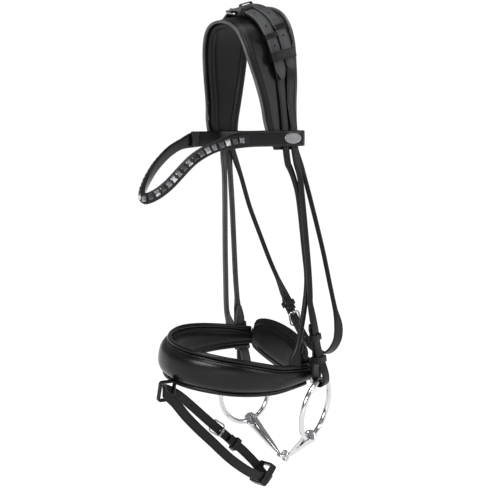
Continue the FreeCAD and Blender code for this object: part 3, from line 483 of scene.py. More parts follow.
# painted sheen: the black piping is given a lighter grey colour for the sheen it shows
PIPING_PAINTED_SHEEN = leather("piping_leather", (0.05, 0.051, 0.054), 0.22, 0.12, 1500.0, (), 0.0, 0.6)
THREAD = leather("thread", (0.055, 0.055, 0.057), 0.5, 0.1, 3000.0)
STEEL = metal("polished_steel", (0.62, 0.62, 0.635), 0.09, 0.05)
BUCKLE = metal("buckle_steel", (0.42, 0.42, 0.43), 0.14, 0.10)
SATIN = metal("satin_metal", (0.24, 0.24, 0.25), 0.36, 0.12, 0.12)
SETTING = metal("setting_metal", (0.03, 0.03, 0.032), 0.38, 0.1)
CLEAR = stone_finish("stone_clear", (0.66, 0.67, 0.70), 0.95)
GREY = stone_finish("stone_grey", (0.22, 0.225, 0.24), 0.9)
JET = stone_finish("stone_jet", (0.012, 0.012, 0.013), 0.1)
ROUND = rounded(0.999)  # a full round or oval section


# ---------------------------------------------------------------- sizes
WIDE, THICK, ROLL = 12.4, 2.6, 6.4  # flat strap, and across a rolled one
THROAT_ROLL = 5.4  # across the rolled part of the throatlash
BASE, TOP, SIDE = 12.3, 15.2, 10.1  # heights on the headpiece: lower strap, upper strap, single strap
BAR, TONGUE, GAP, FRAME_IN = 1.0, 0.7, 0.25, 13.4  # buckle: bar and tongue radius, play, inner width
EDGE_SEAM = 1.55  # stitches in from the edge of a flat strap
RING_RADIUS, RING_WIRE, RING_HOLE = 34.5, 3.0, 3.6
BILLET_HALF = {1: 6.8, -1: 5.2}  # half the width of the loop round each ring
NEAR, FAR = (1, 0, 0), (-1, 0, 0)


# ---------------------------------------------------------------- small parts
def keeper(name, c, across, out, wide, high, deep, body, wall=1.5):
    """Leather loop round a strap, its inside wide by high."""
    stations = hoop_stations(c, across, out, across.cross(out), wide, high, 1.0, wall, deep)
    return loft(name + "_loop", stations, KEEPER, body, (name,), "bridle_leather", rounded(0.7), True)


def buckle(prefix, heel, toe, across, out, frame_body, tongue_body):
    """Frame with round bars and a tongue that turns on the heel bar."""
    ahead = (toe - heel).normalized()
    length = (toe - heel).length
    across = (across - ahead * across.dot(ahead)).normalized()
    if across.cross(ahead).dot(out) < 0:
        across = across * -1
    up = across.cross(ahead)
    stations = hoop_stations((heel + toe) * 0.5, across, ahead, up, FRAME_IN, length - 2 * BAR, 2.6, 2 * BAR,
        2 * BAR + 0.2)
    loft(prefix + "_bow", stations, BUCKLE, frame_body, (prefix + "_frame",), "buckle_steel", ROUND, True)
    skin = Skin()
    start = heel + up * (BAR + GAP + 0.5)
    end = toe + up * (BAR + TONGUE + 0.35)
    way = (end - start).normalized()
    rise = way.cross(across).normalized() * -1
    reach = (end - start).length + 1.4
    rows = [(start + way * (reach * f), across, rise, w, t)
            for f, w, t in ((0, 1.9, 1.5), (0.3, 1.8, 1.45), (0.7, 1.55, 1.4), (0.93, 1.35, 1.25),
                (1.0, 0.7, 0.7))]
    skin.loft(refine(rows, 4), ROUND)
    skin.loft(hoop_stations(heel, ahead, up, across, 2 * (BAR + GAP), 2 * (BAR + GAP), BAR + GAP - 0.01, 0.8,
        2.8, 8),
              rounded(0.9), True)
    skin.done(prefix + "_pin", BUCKLE, tongue_body, (prefix + "_tongue",), "buckle_steel")


# ---------------------------------------------------------------- headpiece surface
ARCH = ((0, 0), (18, -3.5), (29, -13), (35, -28), (39, -48), (43, -70), (46.5, -95), (50, -120), (52, -146))
LEAN = (15, 14, 11, 7, 4, 2, 0, 0, 0)
FRONT = (-39, -38.5, -37, -34.5, -31, -26, -21, -18, -9)
REAR = (24, 25, 26, 27, 26.5, 25, 22, 20, 21)


def table(values, s):
    return spline([float(v) for v in values], abs(s))


def arch_point(s):
    line = [V(x, 0, z) for x, z in ARCH]
    line = [V(-p.x, 0, p.z) for p in reversed(line[1:])] + line
    return spline(line, s + 8)


def head_frame(s):
    ahead = (arch_point(min(s + 0.05, 8)) - arch_point(max(s - 0.05, -8))).normalized()
    flat = V(-ahead.z, 0, ahead.x)
    lean = math.radians(table(LEAN, s))
    across = V(0, math.cos(lean), 0) + flat * math.sin(lean)
    return arch_point(s), across, flat * math.cos(lean) - V(0, math.sin(lean), 0)


def head(s, y, high):
    """Point on the headpiece: s along it, y across it, high above its underside."""
    base, across, out = head_frame(s)
    return base + across * y + out * high


def lay(knots):
    """Stations of a layer on the headpiece; knot = (s, y, low side, wide, thick)."""
    s, stations = knots[0][0], []
    while s <= knots[-1][0] + 1e-6:
        y, low, wide, thick = between(knots, s)[1:]
        across, out = head_frame(s)[1:]
        stations.append((head(s, y, low + thick / 2), across * -1, out, wide, thick))
        s += 0.5
    return stations


def broad(s0, s1, trim, low, thick):
    """Layer over the whole width of the headpiece."""
    count = int(round(abs(s1 - s0) * 2)) + 1
    knots = []
    for k in range(count):
        s = s0 + (s1 - s0) * k / (count - 1)
        front, rear = table(FRONT, s) + trim, table(REAR, s) - trim
        knots.append((s, (front + rear) / 2, low, rear - front, thick))
    return knots


def edge_marks(half, fine):
    """Distances from the edge to the middle, close together where the surface is fine."""
    return list(fine) + [fine[-1] + (half - fine[-1]) * k / 6 for k in range(1, 7)]


def sheet_section(top, bottom, fine):
    """Section with an outer and an inner height, each a function of the distance from the edge."""
    def section(w, t, f):
        marks = edge_marks(w / 2, fine)
        right = [(w / 2 - e, e) for e in marks]
        line = right + [(-x, e) for x, e in reversed(right[:-1])]
        up = [(x, top(e, w, t), e) for x, e in line]
        down = [(x, bottom(e, w, t), e) for x, e in reversed(line)]
        return up + down
    return section


def bell(e, at, wide):
    return math.exp(-((e - at) / wide) ** 2)


def headpiece():
    rows = refine(lay(broad(-8, 8, 0, 6.8, 3.0)), 6)

    def top(e, w, t):
        fall = 1.9 * (1 - smooth(e / 5.0)) ** 1.2
        return t / 2 - fall - 0.6 * bell(e, 4.6, 0.45) - 0.6 * bell(e, 6.3, 0.45)
    fine = (0, 0.3, 1, 2, 3, 3.8, 4.2, 4.6, 5.0, 5.45, 5.9, 6.3, 6.7, 7.3, 8.5)
    shell = Skin().loft(rows, sheet_section(top, lambda e, w, t: -t / 2, fine))
    shell.done("headpiece_shell", SHELL, "headstall", ("headpiece_leather",), "padded_leather")
    thread = Skin()
    for inset in (4.6, 6.3):
        thread.stitch(rows, inset, *PAD_SEAM, 0.30, 0.75, 6, 6)
    thread.done("headpiece_thread", THREAD, "headstall", (), "piping_leather")
    skin = Skin()
    for side, row in ((-1, FRONT), (1, REAR)):
        knots = [(-7.75 + k * 0.25, table(row, -7.75 + k * 0.25) + side * 1.7, 6.6, 3.4,
            3.4) for k in range(63)]
        knots = [(max(min(s, 7.75), -7.75), y, low, w, t) for s, y, low, w, t in knots]
        skin.loft(refine(lay(knots), 5), ROUND)
    # the piped edge takes the lighter piping colour, which is painted sheen
    skin.done("headpiece_piped_edge", PIPING_PAINTED_SHEEN, "headstall", ("headpiece_piping",), "piping_leather")

    def under(e, w, t):
        round_off = 3.0 * (1 - math.sqrt(max(1 - (1 - min(e / 3.2, 1)) ** 2, 0)))
        return -t / 2 + round_off + 2.4 * smooth((e - 5.0) / 4.5) + 0.9 * bell(e, 9.0, 1.1)
    fine = (0, 0.15, 0.5, 1.0, 1.7, 2.6, 4, 5.5, 7, 8, 8.6, 9.2, 10, 11)
    rows = refine(lay(broad(-7.5, 7.5, 1.0, 0, 6.6)), 6)
    pad = Skin().loft(rows, sheet_section(lambda e, w, t: t / 2, under, fine))
    pad = pad.done("headpiece_cushion", LINING, "headstall", ("headpiece_padding",), "lining_leather")


# ---------------------------------------------------------------- straps over the poll
FRONT_LINE = ((-8, 6), (-7, 4), (-5, 1), (-4, -2), (-3, -6), (-2, -10), (-1, -14), (0, -16), (0.5, -14.2),
              (1, -12), (2, -7), (3, -3), (4, 1), (5, 4), (6, 4), (8, 4.5))
REAR_LINE = ((-8, 15), (-7, 14.5), (-6, 15), (-5, 15), (-4, 14), (-3, 11), (-2, 8), (-1, 5), (-0.5, 3.4),
    (0, 2.4),
             (1, 4), (2, 8.5), (3, 12.6), (4, 16.4), (4.5, 17.5), (5, 17.2), (6, 14.6), (8, 14.5))


def line_y(line, s):
    return between(line, s)[1]


def poll_layer(line, rows):
    """Layer following a strap line; row = (s, low side, wide, thick)."""
    rows = [row if len(row) == 4 else row + (WIDE, THICK) for row in rows]
    knots, s = [], rows[0][0]
    while s <= rows[-1][0] + 1e-6:
        knots.append((s, line_y(line, s), *between(rows, s)[1:]))
        s += 0.5
    return lay(knots)


def along_strap(knots, s, high):
    """Centre, across and out of a poll strap at s, its middle high above the underside."""
    def point(at):
        return head(at, line_y(knots, at), high)
    ahead = (point(s + 0.15) - point(s - 0.15)).normalized()
    across = ahead.cross(head_frame(s)[2]).normalized()
    return point(s), across, across.cross(ahead)


def square_up(stations):
    """Turns each station square to the run of its strap."""
    out = []
    for k, (c, a, o, w, t) in enumerate(stations):
        ahead = (stations[min(k + 1, len(stations) - 1)][0] - stations[max(k - 1, 0)][0]).normalized()
        across = ahead.cross(o).normalized()
        if across.dot(a) < 0:
            across = across * -1
        out.append((c, across, o, w, t))
    return out


def poll_buckle(prefix, line, heel_s, toe_s, tongue_body):
    heel = head(heel_s, line_y(line, heel_s), 12.5)
    toe = head(toe_s, line_y(line, toe_s), 17.0)
    across, out = head_frame((heel_s + toe_s) / 2)[1:]
    buckle(prefix, heel, toe, across, out, "headstall", tongue_body)


def punched(obj, line, marks):
    drill(obj, [(head(s, line_y(line, s), 16.5), head_frame(s)[2]) for s in marks])


def poll_strap(name, stations, node, thread_from):
    """A flat strap, with a row of stitches beside each edge from one share of its length to its tip."""
    # the lighter strap leather here is painted light, not a different leather
    obj = loft(name, stations, STRAP_PAINTED_LIGHT, "headstall", (node,), "bridle_leather")
    part = stations[int(len(stations) * thread_from):int(len(stations) * 0.985)]
    thread = Skin().stitch(part, EDGE_SEAM, *STRAP_SEAM, 0.26)
    thread.done(name + "_thread", THREAD, "headstall", (), "bridle_leather")
    return obj


def hung(face, rolled, rows):
    """Knots that face one way; a row with no width and thickness is rolled round."""
    return [(x, y, z, face, *(size or (rolled, rolled))) for x, y, z, *size in rows]


def poll_straps():
    rise = run(hung(FAR, ROLL, ((-59.6, 14.5, -358.6, 17, 3.0), (-62.4, 13.8, -352, 10, 4),
        (-66.4, 12.5, -338),
                (-66, 11, -300), (-65, 9.6, -262), (-63.5, 8.3, -215),
                (-63.2, 7.6, -180), (-63.4, 6.6, -160, 8, 4))))
    over = poll_layer(FRONT_LINE, ((-8, SIDE, 8.5, 3.2), (-7, SIDE, 8.5, 3.2), (-5, SIDE, 10, THICK),
        (-4, SIDE),
                                   (-1, SIDE), (-0.5, 12.8), (0, 15.6), (0.5, 15.5), (1, TOP), (5, TOP)))
    line = tip(square_up(refine(rise + over, 5)), 11.0, power=0.6)
    strap = poll_strap("sliphead", line, "noseband_sliphead", 0.66)
    punched(strap, FRONT_LINE, (1.25, 2.2, 3.3))
    rise = billet(-1) + run(hung(FAR, ROLL, ((-71.4, 31, -326), (-70, 27.6, -296),
                             (-68.2, 24.4, -260), (-67.4, 21.4, -215),
                             (-67, 18.6, -180), (-66.6, 16.6, -160, 8, 4))))
    over = poll_layer(REAR_LINE, ((-8, 12.9, 9, 2.8), (-7, 12.9, 9, 2.8), (-6, SIDE, 9, THICK),
        (-5, SIDE, 10, THICK),
                                  (-4, SIDE), (-2, SIDE), (-1.5, 12.8), (-1, 15.6), (-0.5, 15.5), (0, TOP),
                                  (4.5, TOP)))
    line = tip(square_up(refine(rise + over, 4)), 9.0, power=0.4, least=4.0)
    strap = poll_strap("cheek_far", line, "cheek_strap_far", 0.74)
    punched(strap, REAR_LINE, (0.75, 1.4, 2.75))
    down = poll_layer(FRONT_LINE, ((0.5, BASE), (4.5, BASE), (5, SIDE, 10, THICK), (6, SIDE, 8.5, 3.2),
        (8, SIDE, 8.5, 3.2)))
    drop = run(hung(NEAR, ROLL, ((63.0, 7.4, -160, 8, 4), (61.4, 17.0, -178), (60.6, 24.7, -202),
                (61, 32, -258), (62, 35.3, -293), (64, 30.1, -327),
                (65, 22, -361), (65.2, 18.4, -372),
                (65.2, 16.8, -381, 13, 4), (65.0, 15.6, -391.2, 17, 3.0))))
    loft("hanger_near", square_up(refine(down + drop, 5)), ROLLED, "headstall", ("noseband_hanger_near",),
        "bridle_leather")
    down = poll_layer(REAR_LINE, ((-0.5, BASE), (4.5, BASE), (5, SIDE, 10, THICK), (6, SIDE, 9, THICK),
                                  (7, 12.9, 9, 2.8), (8, 12.9, 9, 2.8)))
    drop = run(hung(NEAR, ROLL, ((67.2, 16.6, -160, 8, 4), (68.6, 20.6, -178), (68.8, 23.8, -202),
                (69.8, 29.7, -258), (71, 32.2, -293), (72.2, 32.8, -320))))
    loft("cheek_near", square_up(refine(down + drop + billet(1), 4)), ROLLED, "headstall",
        ("cheek_strap_near",), "bridle_leather")
    poll_buckle("poll_buckle_front", FRONT_LINE, 0.2, -0.5, "front_tongue")
    poll_buckle("poll_buckle_rear", REAR_LINE, -0.8, -1.5, "rear_tongue")
    for name, line, s, lift in (("poll_keeper_front_fixed", FRONT_LINE, 0.78, 15.2),
        ("poll_keeper_rear_fixed", REAR_LINE, -0.22, 15.5),
                                ("poll_keeper_front", FRONT_LINE, 2.75, 15.1),
                                ("poll_keeper_rear", REAR_LINE, 2.26, 15.1)):
        keeper(name, *along_strap(line, s, lift), WIDE + 0.8, 2 * THICK + 1.9, 5.4, "headstall")
    middle = [(s, (y + line_y(REAR_LINE, s)) / 2) for s, y in FRONT_LINE[9:13]]
    keeper("poll_keeper_wide", *along_strap(middle, 3.75, 15.5), WIDE * 2 + 4.6, 2 * THICK + 1.9, 10.4,
        "poll_slider")


# ---------------------------------------------------------------- bit billets
def billet_frame(side):
    """Ring top, outward and up directions of a bit billet."""
    top = V(73.36, 47.47, -407.27) if side > 0 else V(-73, 43, -408.5)
    up = (V(0, -0.178, 0.984) if side > 0 else V(0.005, -0.146, 0.989)).normalized()
    turn = math.radians(20 if side > 0 else 0)
    out = V(side * math.cos(turn), math.sin(turn), 0)
    return top, (out - up * out.dot(up)).normalized(), up


def billet(side):
    """Flat lower end of a cheek strap: down outside, round the ring, up on the inner side."""
    top, out, up = billet_frame(side)
    half = BILLET_HALF[side]
    legs = ((1.5, 58, 12), (1.5, 50, 12), (1.6, 38, 12), (half * 0.55, 24, 12), (half, 9, 12), (half, 0, 12),
            (half * 0.7, -4.6, 12), (0, -6.6, 12), (-half * 0.7, -4.6, 12), (-half, 0, 12), (-half, 9, 12),
            (-half * 0.55, 24, 12), (-1.6, 38, 12), (-1.6, 50, 12), (-2.7, 60, 12),
            (-3.6, 66, 5) if side > 0 else (-4.8, 74, 5))
    facing = ((1, 0), (1, 0), (1, 0), (1, 0), (1, 0), (1, 0), (0.7, -0.7), (0, -1), (-0.7, -0.7), (-1, 0),
        (-1, 0),
              (-1, 0), (-1, 0), (-1, 0), (-1, 0), (-1, 0))
    knots = []
    for (o, d, wide), (fo, fd) in zip(legs, facing):
        c, f = top + out * o + up * d, out * fo + up * fd
        knots.append((*c, f, wide, THICK))
    rows = run(knots, 2)
    if side > 0:
        return rows
    return [(c, a * -1, o * -1, w, t) for c, a, o, w, t in reversed(rows)]


def billet_parts():
    for side, word in ((1, "near"), (-1, "far")):
        top, out, up = billet_frame(side)
        across = out.cross(up).normalized()
        half = BILLET_HALF[side]
        for name, d, high in (("upper", 50, 6.6), ("lower", 24, half * 1.1 + 4.6)):
            keeper("billet_keeper_%s_%s" % (word, name), top + up * d, across, out, WIDE + 0.4, high, 7.2,
                "headstall")
        rows = [(top + up * 32 + out * (h - 0.45), across, up, w, w) for h,
            w in ((0, 5.2), (0.3, 5.2), (0.9, 4.4), (1.1, 2.0))]
        loft("hook_head_" + word, refine(rows, 3), BUCKLE, "headstall", ("hook_stud_" + word,),
            "buckle_steel", ROUND)


# ---------------------------------------------------------------- browband
def band_line():
    """Outer run of the browband from the far loop round the V to the near loop."""
    return ((-60.5, -26, -135.4, (-1, -0.25, 0)), (-57, -43, -136.6, (-1, -0.35, 0)),
        (-52, -60, -140.6, (-0.9, -0.45, 0)),
            (-47, -76, -146.6, (-0.85, -0.5, 0)), (-41, -91, -155, (-0.8, -0.6, 0)),
            (-34, -106, -165.5, (-0.75, -0.65, 0)),
            (-26, -120, -178, (-0.7, -0.75, 0)), (-17, -131, -188.5, (-0.5, -0.85, 0)),
            (-8, -138.5, -195.5, (-0.25, -0.95, 0)),
            (0.5, -141.5, -198.2, (0.05, -1, 0)), (8, -138.5, -196.4, (0.3, -0.95, 0)),
            (16, -131.5, -190.6, (0.5, -0.85, 0)),
            (24, -123, -180.8, (0.65, -0.75, 0)), (31, -115, -169.4, (0.7, -0.7, 0)),
            (38, -104.5, -156.4, (0.75, -0.65, 0)),
            (44, -91.5, -146.6, (0.8, -0.6, 0)), (50, -76, -139.6, (0.85, -0.5, 0)),
            (55, -60, -135, (0.9, -0.4, 0)),
            (59, -43, -133.2, (1, -0.3, 0)), (62, -26, -132.8, (1, -0.25, 0)))


def loop_line(side):
    """Loop of the browband round the headpiece end, from the outer run to its sewn end."""
    z = -132.6 if side > 0 else -135.0
    plan = ((68.9, -6, (1, -0.15, 0)), (70.3, 7, (1, 0, 0)), (70.4, 20.5, (1, 0.15, 0)),
        (66, 26.8, (0.5, 1, 0)),
            (55, 28, (-0.2, 1, 0)), (48.6, 24.2, (-1, 0.5, 0)), (47.2, 10, (-1, 0, 0)),
            (47.4, -9, (-1, 0, 0)),
            (51.2, -22.5, (-1, 0.3, 0)), (55.4, -34, (-1, 0.3, 0)), (52.8, -45, (-1, 0.35, 0)))
    return [(side * x, y, z, (side * f[0], f[1], 0)) for x, y, f in plan]


def browband():
    rows = [(x, y, z, f) for x, y, z, f in reversed(loop_line(-1))] + list(band_line()) + loop_line(1)
    knots = [(x, y, z, f, 12.6 if abs(x) < 53 and y < -46 else 17.5, 2.6) for x, y, z, f in rows]
    line = refine(run(knots, 2), 5)
    loft("browband_band", line, CALF, "browband", ("browband_leather",), "padded_leather",
        rounded(0.8, 0.25, hollow=-0.7))
    thread = Skin()
    for side in (1, -1):
        outer = [s for s in line if side * s[0].x > 50 and s[0].y > -52 and side * s[2].x > 0.5]
        thread.stitch(outer, 1.6, *PAD_SEAM, 0.28, 1.32)
    thread.done("browband_thread", THREAD, "browband", (), "padded_leather")
    core = run([(x, y, z, f, 10.4, 1.0) for x, y, z, f in band_line()[1:-1]], 2)
    strip = refine(shifted(core, 2.15, 10.2, 1.2), 6)
    skin = Skin().loft(strip, rounded(0.5))
    clear, grey, jet = Skin(), Skin(), Skin()
    marks, pitch = distances(core), 8.0
    count = int((marks[-1] - pitch) / pitch)
    spare = (marks[-1] - (count - 1) * pitch) / 2
    verts, faces = cut_stone(3.45, 3.0)
    for n in range(count):
        c, across, out, w, t = at_distance(core, marks, spare + n * pitch)
        ahead = across.cross(out).normalized()
        kind = (clear, jet, grey, clear, grey, jet)[n % 6]
        kind.solid([c + across * v.x + ahead * v.y + out * (2.75 + v.z) for v in verts], faces)
        walls = hoop_stations(c + out * 3.1, across, ahead, out, 7.0, 7.0, 0.3, 0.4, 1.3, 2)
        skin.loft(walls, rounded(0.3, arcs=2, mids=1), True)
        for i, j in ((1, 1), (1, -1), (-1, 1), (-1, -1)):
            skin.bead(c + across * (3.3 * i) + ahead * (3.3 * j) + out * 4.0,
                out - across * (0.35 * i) - ahead * (0.35 * j), across, 0.95, 0.5)
    skin.done("browband_setting", SETTING, "browband", ("browband_channel",), "setting_metal")
    clear.done("stones_clear", CLEAR, "browband", ("browband_stones",), "stone_glass", True)
    grey.done("stones_grey", GREY, "browband", (), "stone_glass", True)
    jet.done("stones_jet", JET, "browband", (), "stone_glass", True)
    badge()


def cut_stone(half, high):
    """Square stone with a stepped crown: corner points and the faces between them."""
    bm = bmesh.new()
    for size, z, turn in ((0.9, 0.0, 0), (1.0, 0.35, 0), (0.8, 0.7, 22.5), (0.55, 1.0, 0)):
        square = size in (0.9, 1.0, 0.55)
        for k in range(4 if square else 8):
            ang = math.radians(45 + 90 * k if square else turn + 45 * k)
            reach = half * size * (math.sqrt(2) if square else 1.08)
            bm.verts.new((reach * math.cos(ang), reach * math.sin(ang), z * high))
    bmesh.ops.convex_hull(bm, input=bm.verts)
    bm.verts.index_update()
    used = [v for v in bm.verts if v.link_faces]
    place = {v: k for k, v in enumerate(used)}
    result = [v.co.copy() for v in used], [tuple(place[v] for v in f.verts) for f in bm.faces]
    bm.free()
    return result


def badge():
    """Plain oval badge with a raised rim on the near end of the browband."""
    out = V(1, -0.06, 0).normalized()
    along, c = V(0, 0, 1).cross(out), V(72.2, 7.2, -132.4)
    rows = ((1.0, 0.0), (1.0, 1.2), (0.985, 1.55), (0.955, 1.75), (0.92, 1.75), (0.885, 1.55), (0.865, 1.3),
        (0.84, 1.2),
            (0.6, 1.32), (0.3, 1.4), (0.02, 1.42))
    verts, faces, n = [], [], 72
    for f, h in rows:
        for p, q in circle(n):
            verts.append(c + along * (10.8 * f * p) + V(0, 0, 1) * (6.1 * f * q) + out * h)
    for r in range(len(rows) - 1):
        faces += quads(r * n, (r + 1) * n, n)
    faces += [tuple(range(n)), tuple((len(rows) - 1) * n + k for k in range(n))]
    make("browband_oval", verts, faces, SATIN, "browband", ("browband_badge",))


# ---------------------------------------------------------------- throatlash
def throatlash():
    thin = 2.2
    start = [(head(8 - k * 0.5, 17.5 + (1 - k) * 0.6, 10.1 + thin / 2), head_frame(8 - k * 0.5)[1] * -1,
              head_frame(8 - k * 0.5)[2], 8.0, thin) for k in (1, 0)]
    base, way = V(-12, 81.4, -362), V(-24, -7.8, 40).normalized()
    out = V(-0.86, 0, -0.51)
    out = (out - way * out.dot(way)).normalized()
    across = way.cross(out)

    def on_line(t, lift, wide, thick=THICK):
        c = base + way * t + out * lift
        return (*c, out, wide, thick)
    near = start + run(hung(NEAR, THROAT_ROLL, ((63.0, 25.5, -163, 7, 3.4), (63, 32.3, -181), (63, 43, -214),
                                                (63, 57, -260), (62, 68.4, -301), (60.5, 77.5, -331, 6, 4.5)))
                       + [(57, 84.5, -349, (1, 0.1, -0.2), 12, THICK),
                        (50, 89.2, -366, (0.85, 0, -0.5), 12, THICK),
                        (38, 90.4, -380, (0.6, 0, -0.8), 12, THICK),
                        (24, 89.6, -386.5, (0.1, 0, -1), 12, THICK),
                        (9, 87.4, -383, (-0.45, 0, -0.9), 12, THICK),
                        (-3, 84, -373.5, (-0.7, 0, -0.7), 12, THICK)]
                       + [on_line(t, 0, 12) for t in (0, 11, 22, 33, 41)] + [on_line(47, 0, 12)], 2)
    mirror = [(V(-c.x, c.y, c.z), V(a.x, -a.y, -a.z), V(-o.x, o.y, o.z), w, t) for c, a, o, w, t in start]
    far = mirror + run(hung(FAR, THROAT_ROLL, ((-62.4, 23.8, -163, 7, 3.4), (-60.4, 30, -182),
        (-58.6, 40, -215),
                                               (-55.5, 52.5, -248), (-49.5, 63.6, -281)))
                       + [(-41.6, 69.8, -303, (-0.95, 0, -0.3), 5.8, 5), on_line(49, -3.0, 11, 3.0),
                        on_line(39, -2.95, 12), on_line(32, -2.95, 12), on_line(26.5, -2.95, 12)], 2)
    line = tip(refine(near, 5), 9.0, power=0.5)
    strap = loft("throatlash_near_strap", line, STRAP, "throatlash", ("throatlash_near",), "bridle_leather")
    thread = Skin().stitch(line[int(len(line) * 0.52):-12], EDGE_SEAM, *STRAP_SEAM, 0.26)
    thread.done("throatlash_thread", THREAD, "throatlash", (), "bridle_leather")
    drill(strap, [(base + way * t, out) for t in (2, -10)])
    loft("throatlash_far_strap", refine(far, 5), ROLLED, "throatlash", ("throatlash_far",), "bridle_leather")
    buckle("throatlash_buckle", base + way * 22.5 - out * 3.7, base + way * 8.5 + out * 3.1, across, out,
        "throatlash", "throat_tongue")
    keeper("throatlash_keeper", base + way * 35 - out * 1.47, across, out, 12.9, 6.6, 6.2, "throatlash")


# ---------------------------------------------------------------- noseband
HALF = (18, 18, 18, 17.6, 17, 15.2, 12.4, 9.6, 7.4)
PLAN = ((0, -98), (19, -95), (34.5, -87), (47.5, -73.5), (56.5, -56), (61.2, -32.5), (62.2, -7), (59, 20),
    (53.5, 44))
# height of the band along its run, far end to near end
RISE = (0, 0, 0, 0, 0, 0, 0, 0.5, 2.5, 4.5, 6, 6, 5, 2.5, 0, 0, 0)
CROWN = (7.4, 7.2, 6.8, 6.2, 5.6, 4.6, 3.4, 2.6, 2.2)
NOSE_DROP, NOSE_TILT = -387, math.radians(15)
LEVEL = Matrix.Translation((0, 0, NOSE_DROP)) @ Matrix.Rotation(NOSE_TILT, 4, "Y")
TURN = LEVEL.to_3x3()
NOSE_RIM = 2.2  # thickness of the cover beside the padding


def level(rows):
    """Stations drawn flat, tilted and lowered to where the noseband hangs."""
    return [(LEVEL @ c, TURN @ a, TURN @ o, w, t) for c, a, o, w, t in rows]


def nose_point(u):
    line = [V(x, y, 0) for x, y in PLAN]
    line = [V(-p.x, p.y, 0) for p in reversed(line[1:])] + line
    return spline(line, u + 8) + V(0, 0, table(RISE, u + 8))


def nose_layer(low, thick, u_end=8.0, up=0.0, high=None):
    """Layer wrapped on the noseband plan; low is its height above the inner face."""
    stations, u = [], -u_end
    while u < u_end + 1e-6:
        ahead = (nose_point(min(u + 0.05, 8)) - nose_point(max(u - 0.05, -8))).normalized()
        out = ahead.cross(V(0, 0, 1))
        swell = thick(u) if callable(thick) else thick
        tall = high if high else 2 * table(HALF, u)
        lift = up(u) if callable(up) else up
        centre = nose_point(u) + out * (low + swell / 2) + V(0, 0, lift)
        stations.append((centre, ahead.cross(out), out, tall, swell))
        u = u + 0.125
    return level(stations)


def noseband():
    fine = (0, 0.2, 0.5, 0.9, 1.3, 1.6, 1.9, 2.3, 2.9, 3.8, 5)
    cover = nose_layer(4.3, lambda u: 2.9 + table(CROWN, u))

    def top(e, w, t):
        half = w / 2 - 1.5
        x = clamp((w / 2 - e) / half)
        pillow = (t - NOSE_RIM) * (1 - x ** 2.5) ** 0.52 if e > 1.5 else 0
        return -t / 2 + NOSE_RIM * min(1, 0.45 + e) + pillow
    piece = Skin().loft(cover, sheet_section(top, lambda e, w, t: -t / 2, fine))
    piece = piece.done("noseband_cover", CALF, "headstall", ("noseband_pad", "noseband_leather"),
        "padded_leather")
    # the stitches sit on the flat rim, below the crown of the padding
    rim = [(c - o * (t / 2 - NOSE_RIM / 2), a, o, w, NOSE_RIM) for c, a, o, w, t in cover]
    thread = Skin().stitch(rim, 0.85, *PAD_SEAM, 0.28, None, 4, 4)
    skin = Skin()
    for way in (1, -1):
        skin.loft(nose_layer(1.4, 5.4, 7.75, lambda u: way * (table(HALF, u) + 2.7), 5.4), ROUND)
    skin.done("noseband_rolled_edge", CALF, "headstall", ("noseband_rolls",), "piping_leather")
    thread.done("noseband_thread", THREAD, "headstall", (), "piping_leather")

    def inner(e, w, t):
        return -t / 2 + 1.6 * (1 - smooth(e / 2.5)) + 1.0 * bell(e, 4.0, 0.8) - 0.9 * smooth((e - 4) / 6)
    fine = (0, 0.3, 0.8, 1.5, 2.5, 3.2, 3.7, 4.0, 4.4, 5.0, 6, 7.2)
    pad = Skin().loft(nose_layer(0, 4.3, 7.9), sheet_section(lambda e, w, t: t / 2, inner, fine))
    pad = pad.done("noseband_inner_pad", LINING, "headstall", ("noseband_lining",), "lining_leather")
    for side, name in ((1, "noseband_slot_near"), (-1, "noseband_slot_far")):
        centre, across, out, w, t = nose_layer(7.05, 2.4)[-1 if side > 0 else 0]
        along = across.cross(out)
        along = along * (-1 if along.y < 0 else 1)
        stations = hoop_stations(centre + along * 3.0, across, along, across.cross(along), 18.2, 7, 1.8, 2.2,
            2.3)
        loft(name + "_bar", stations, BUCKLE, "headstall", (name,), "buckle_steel", ROUND, True)


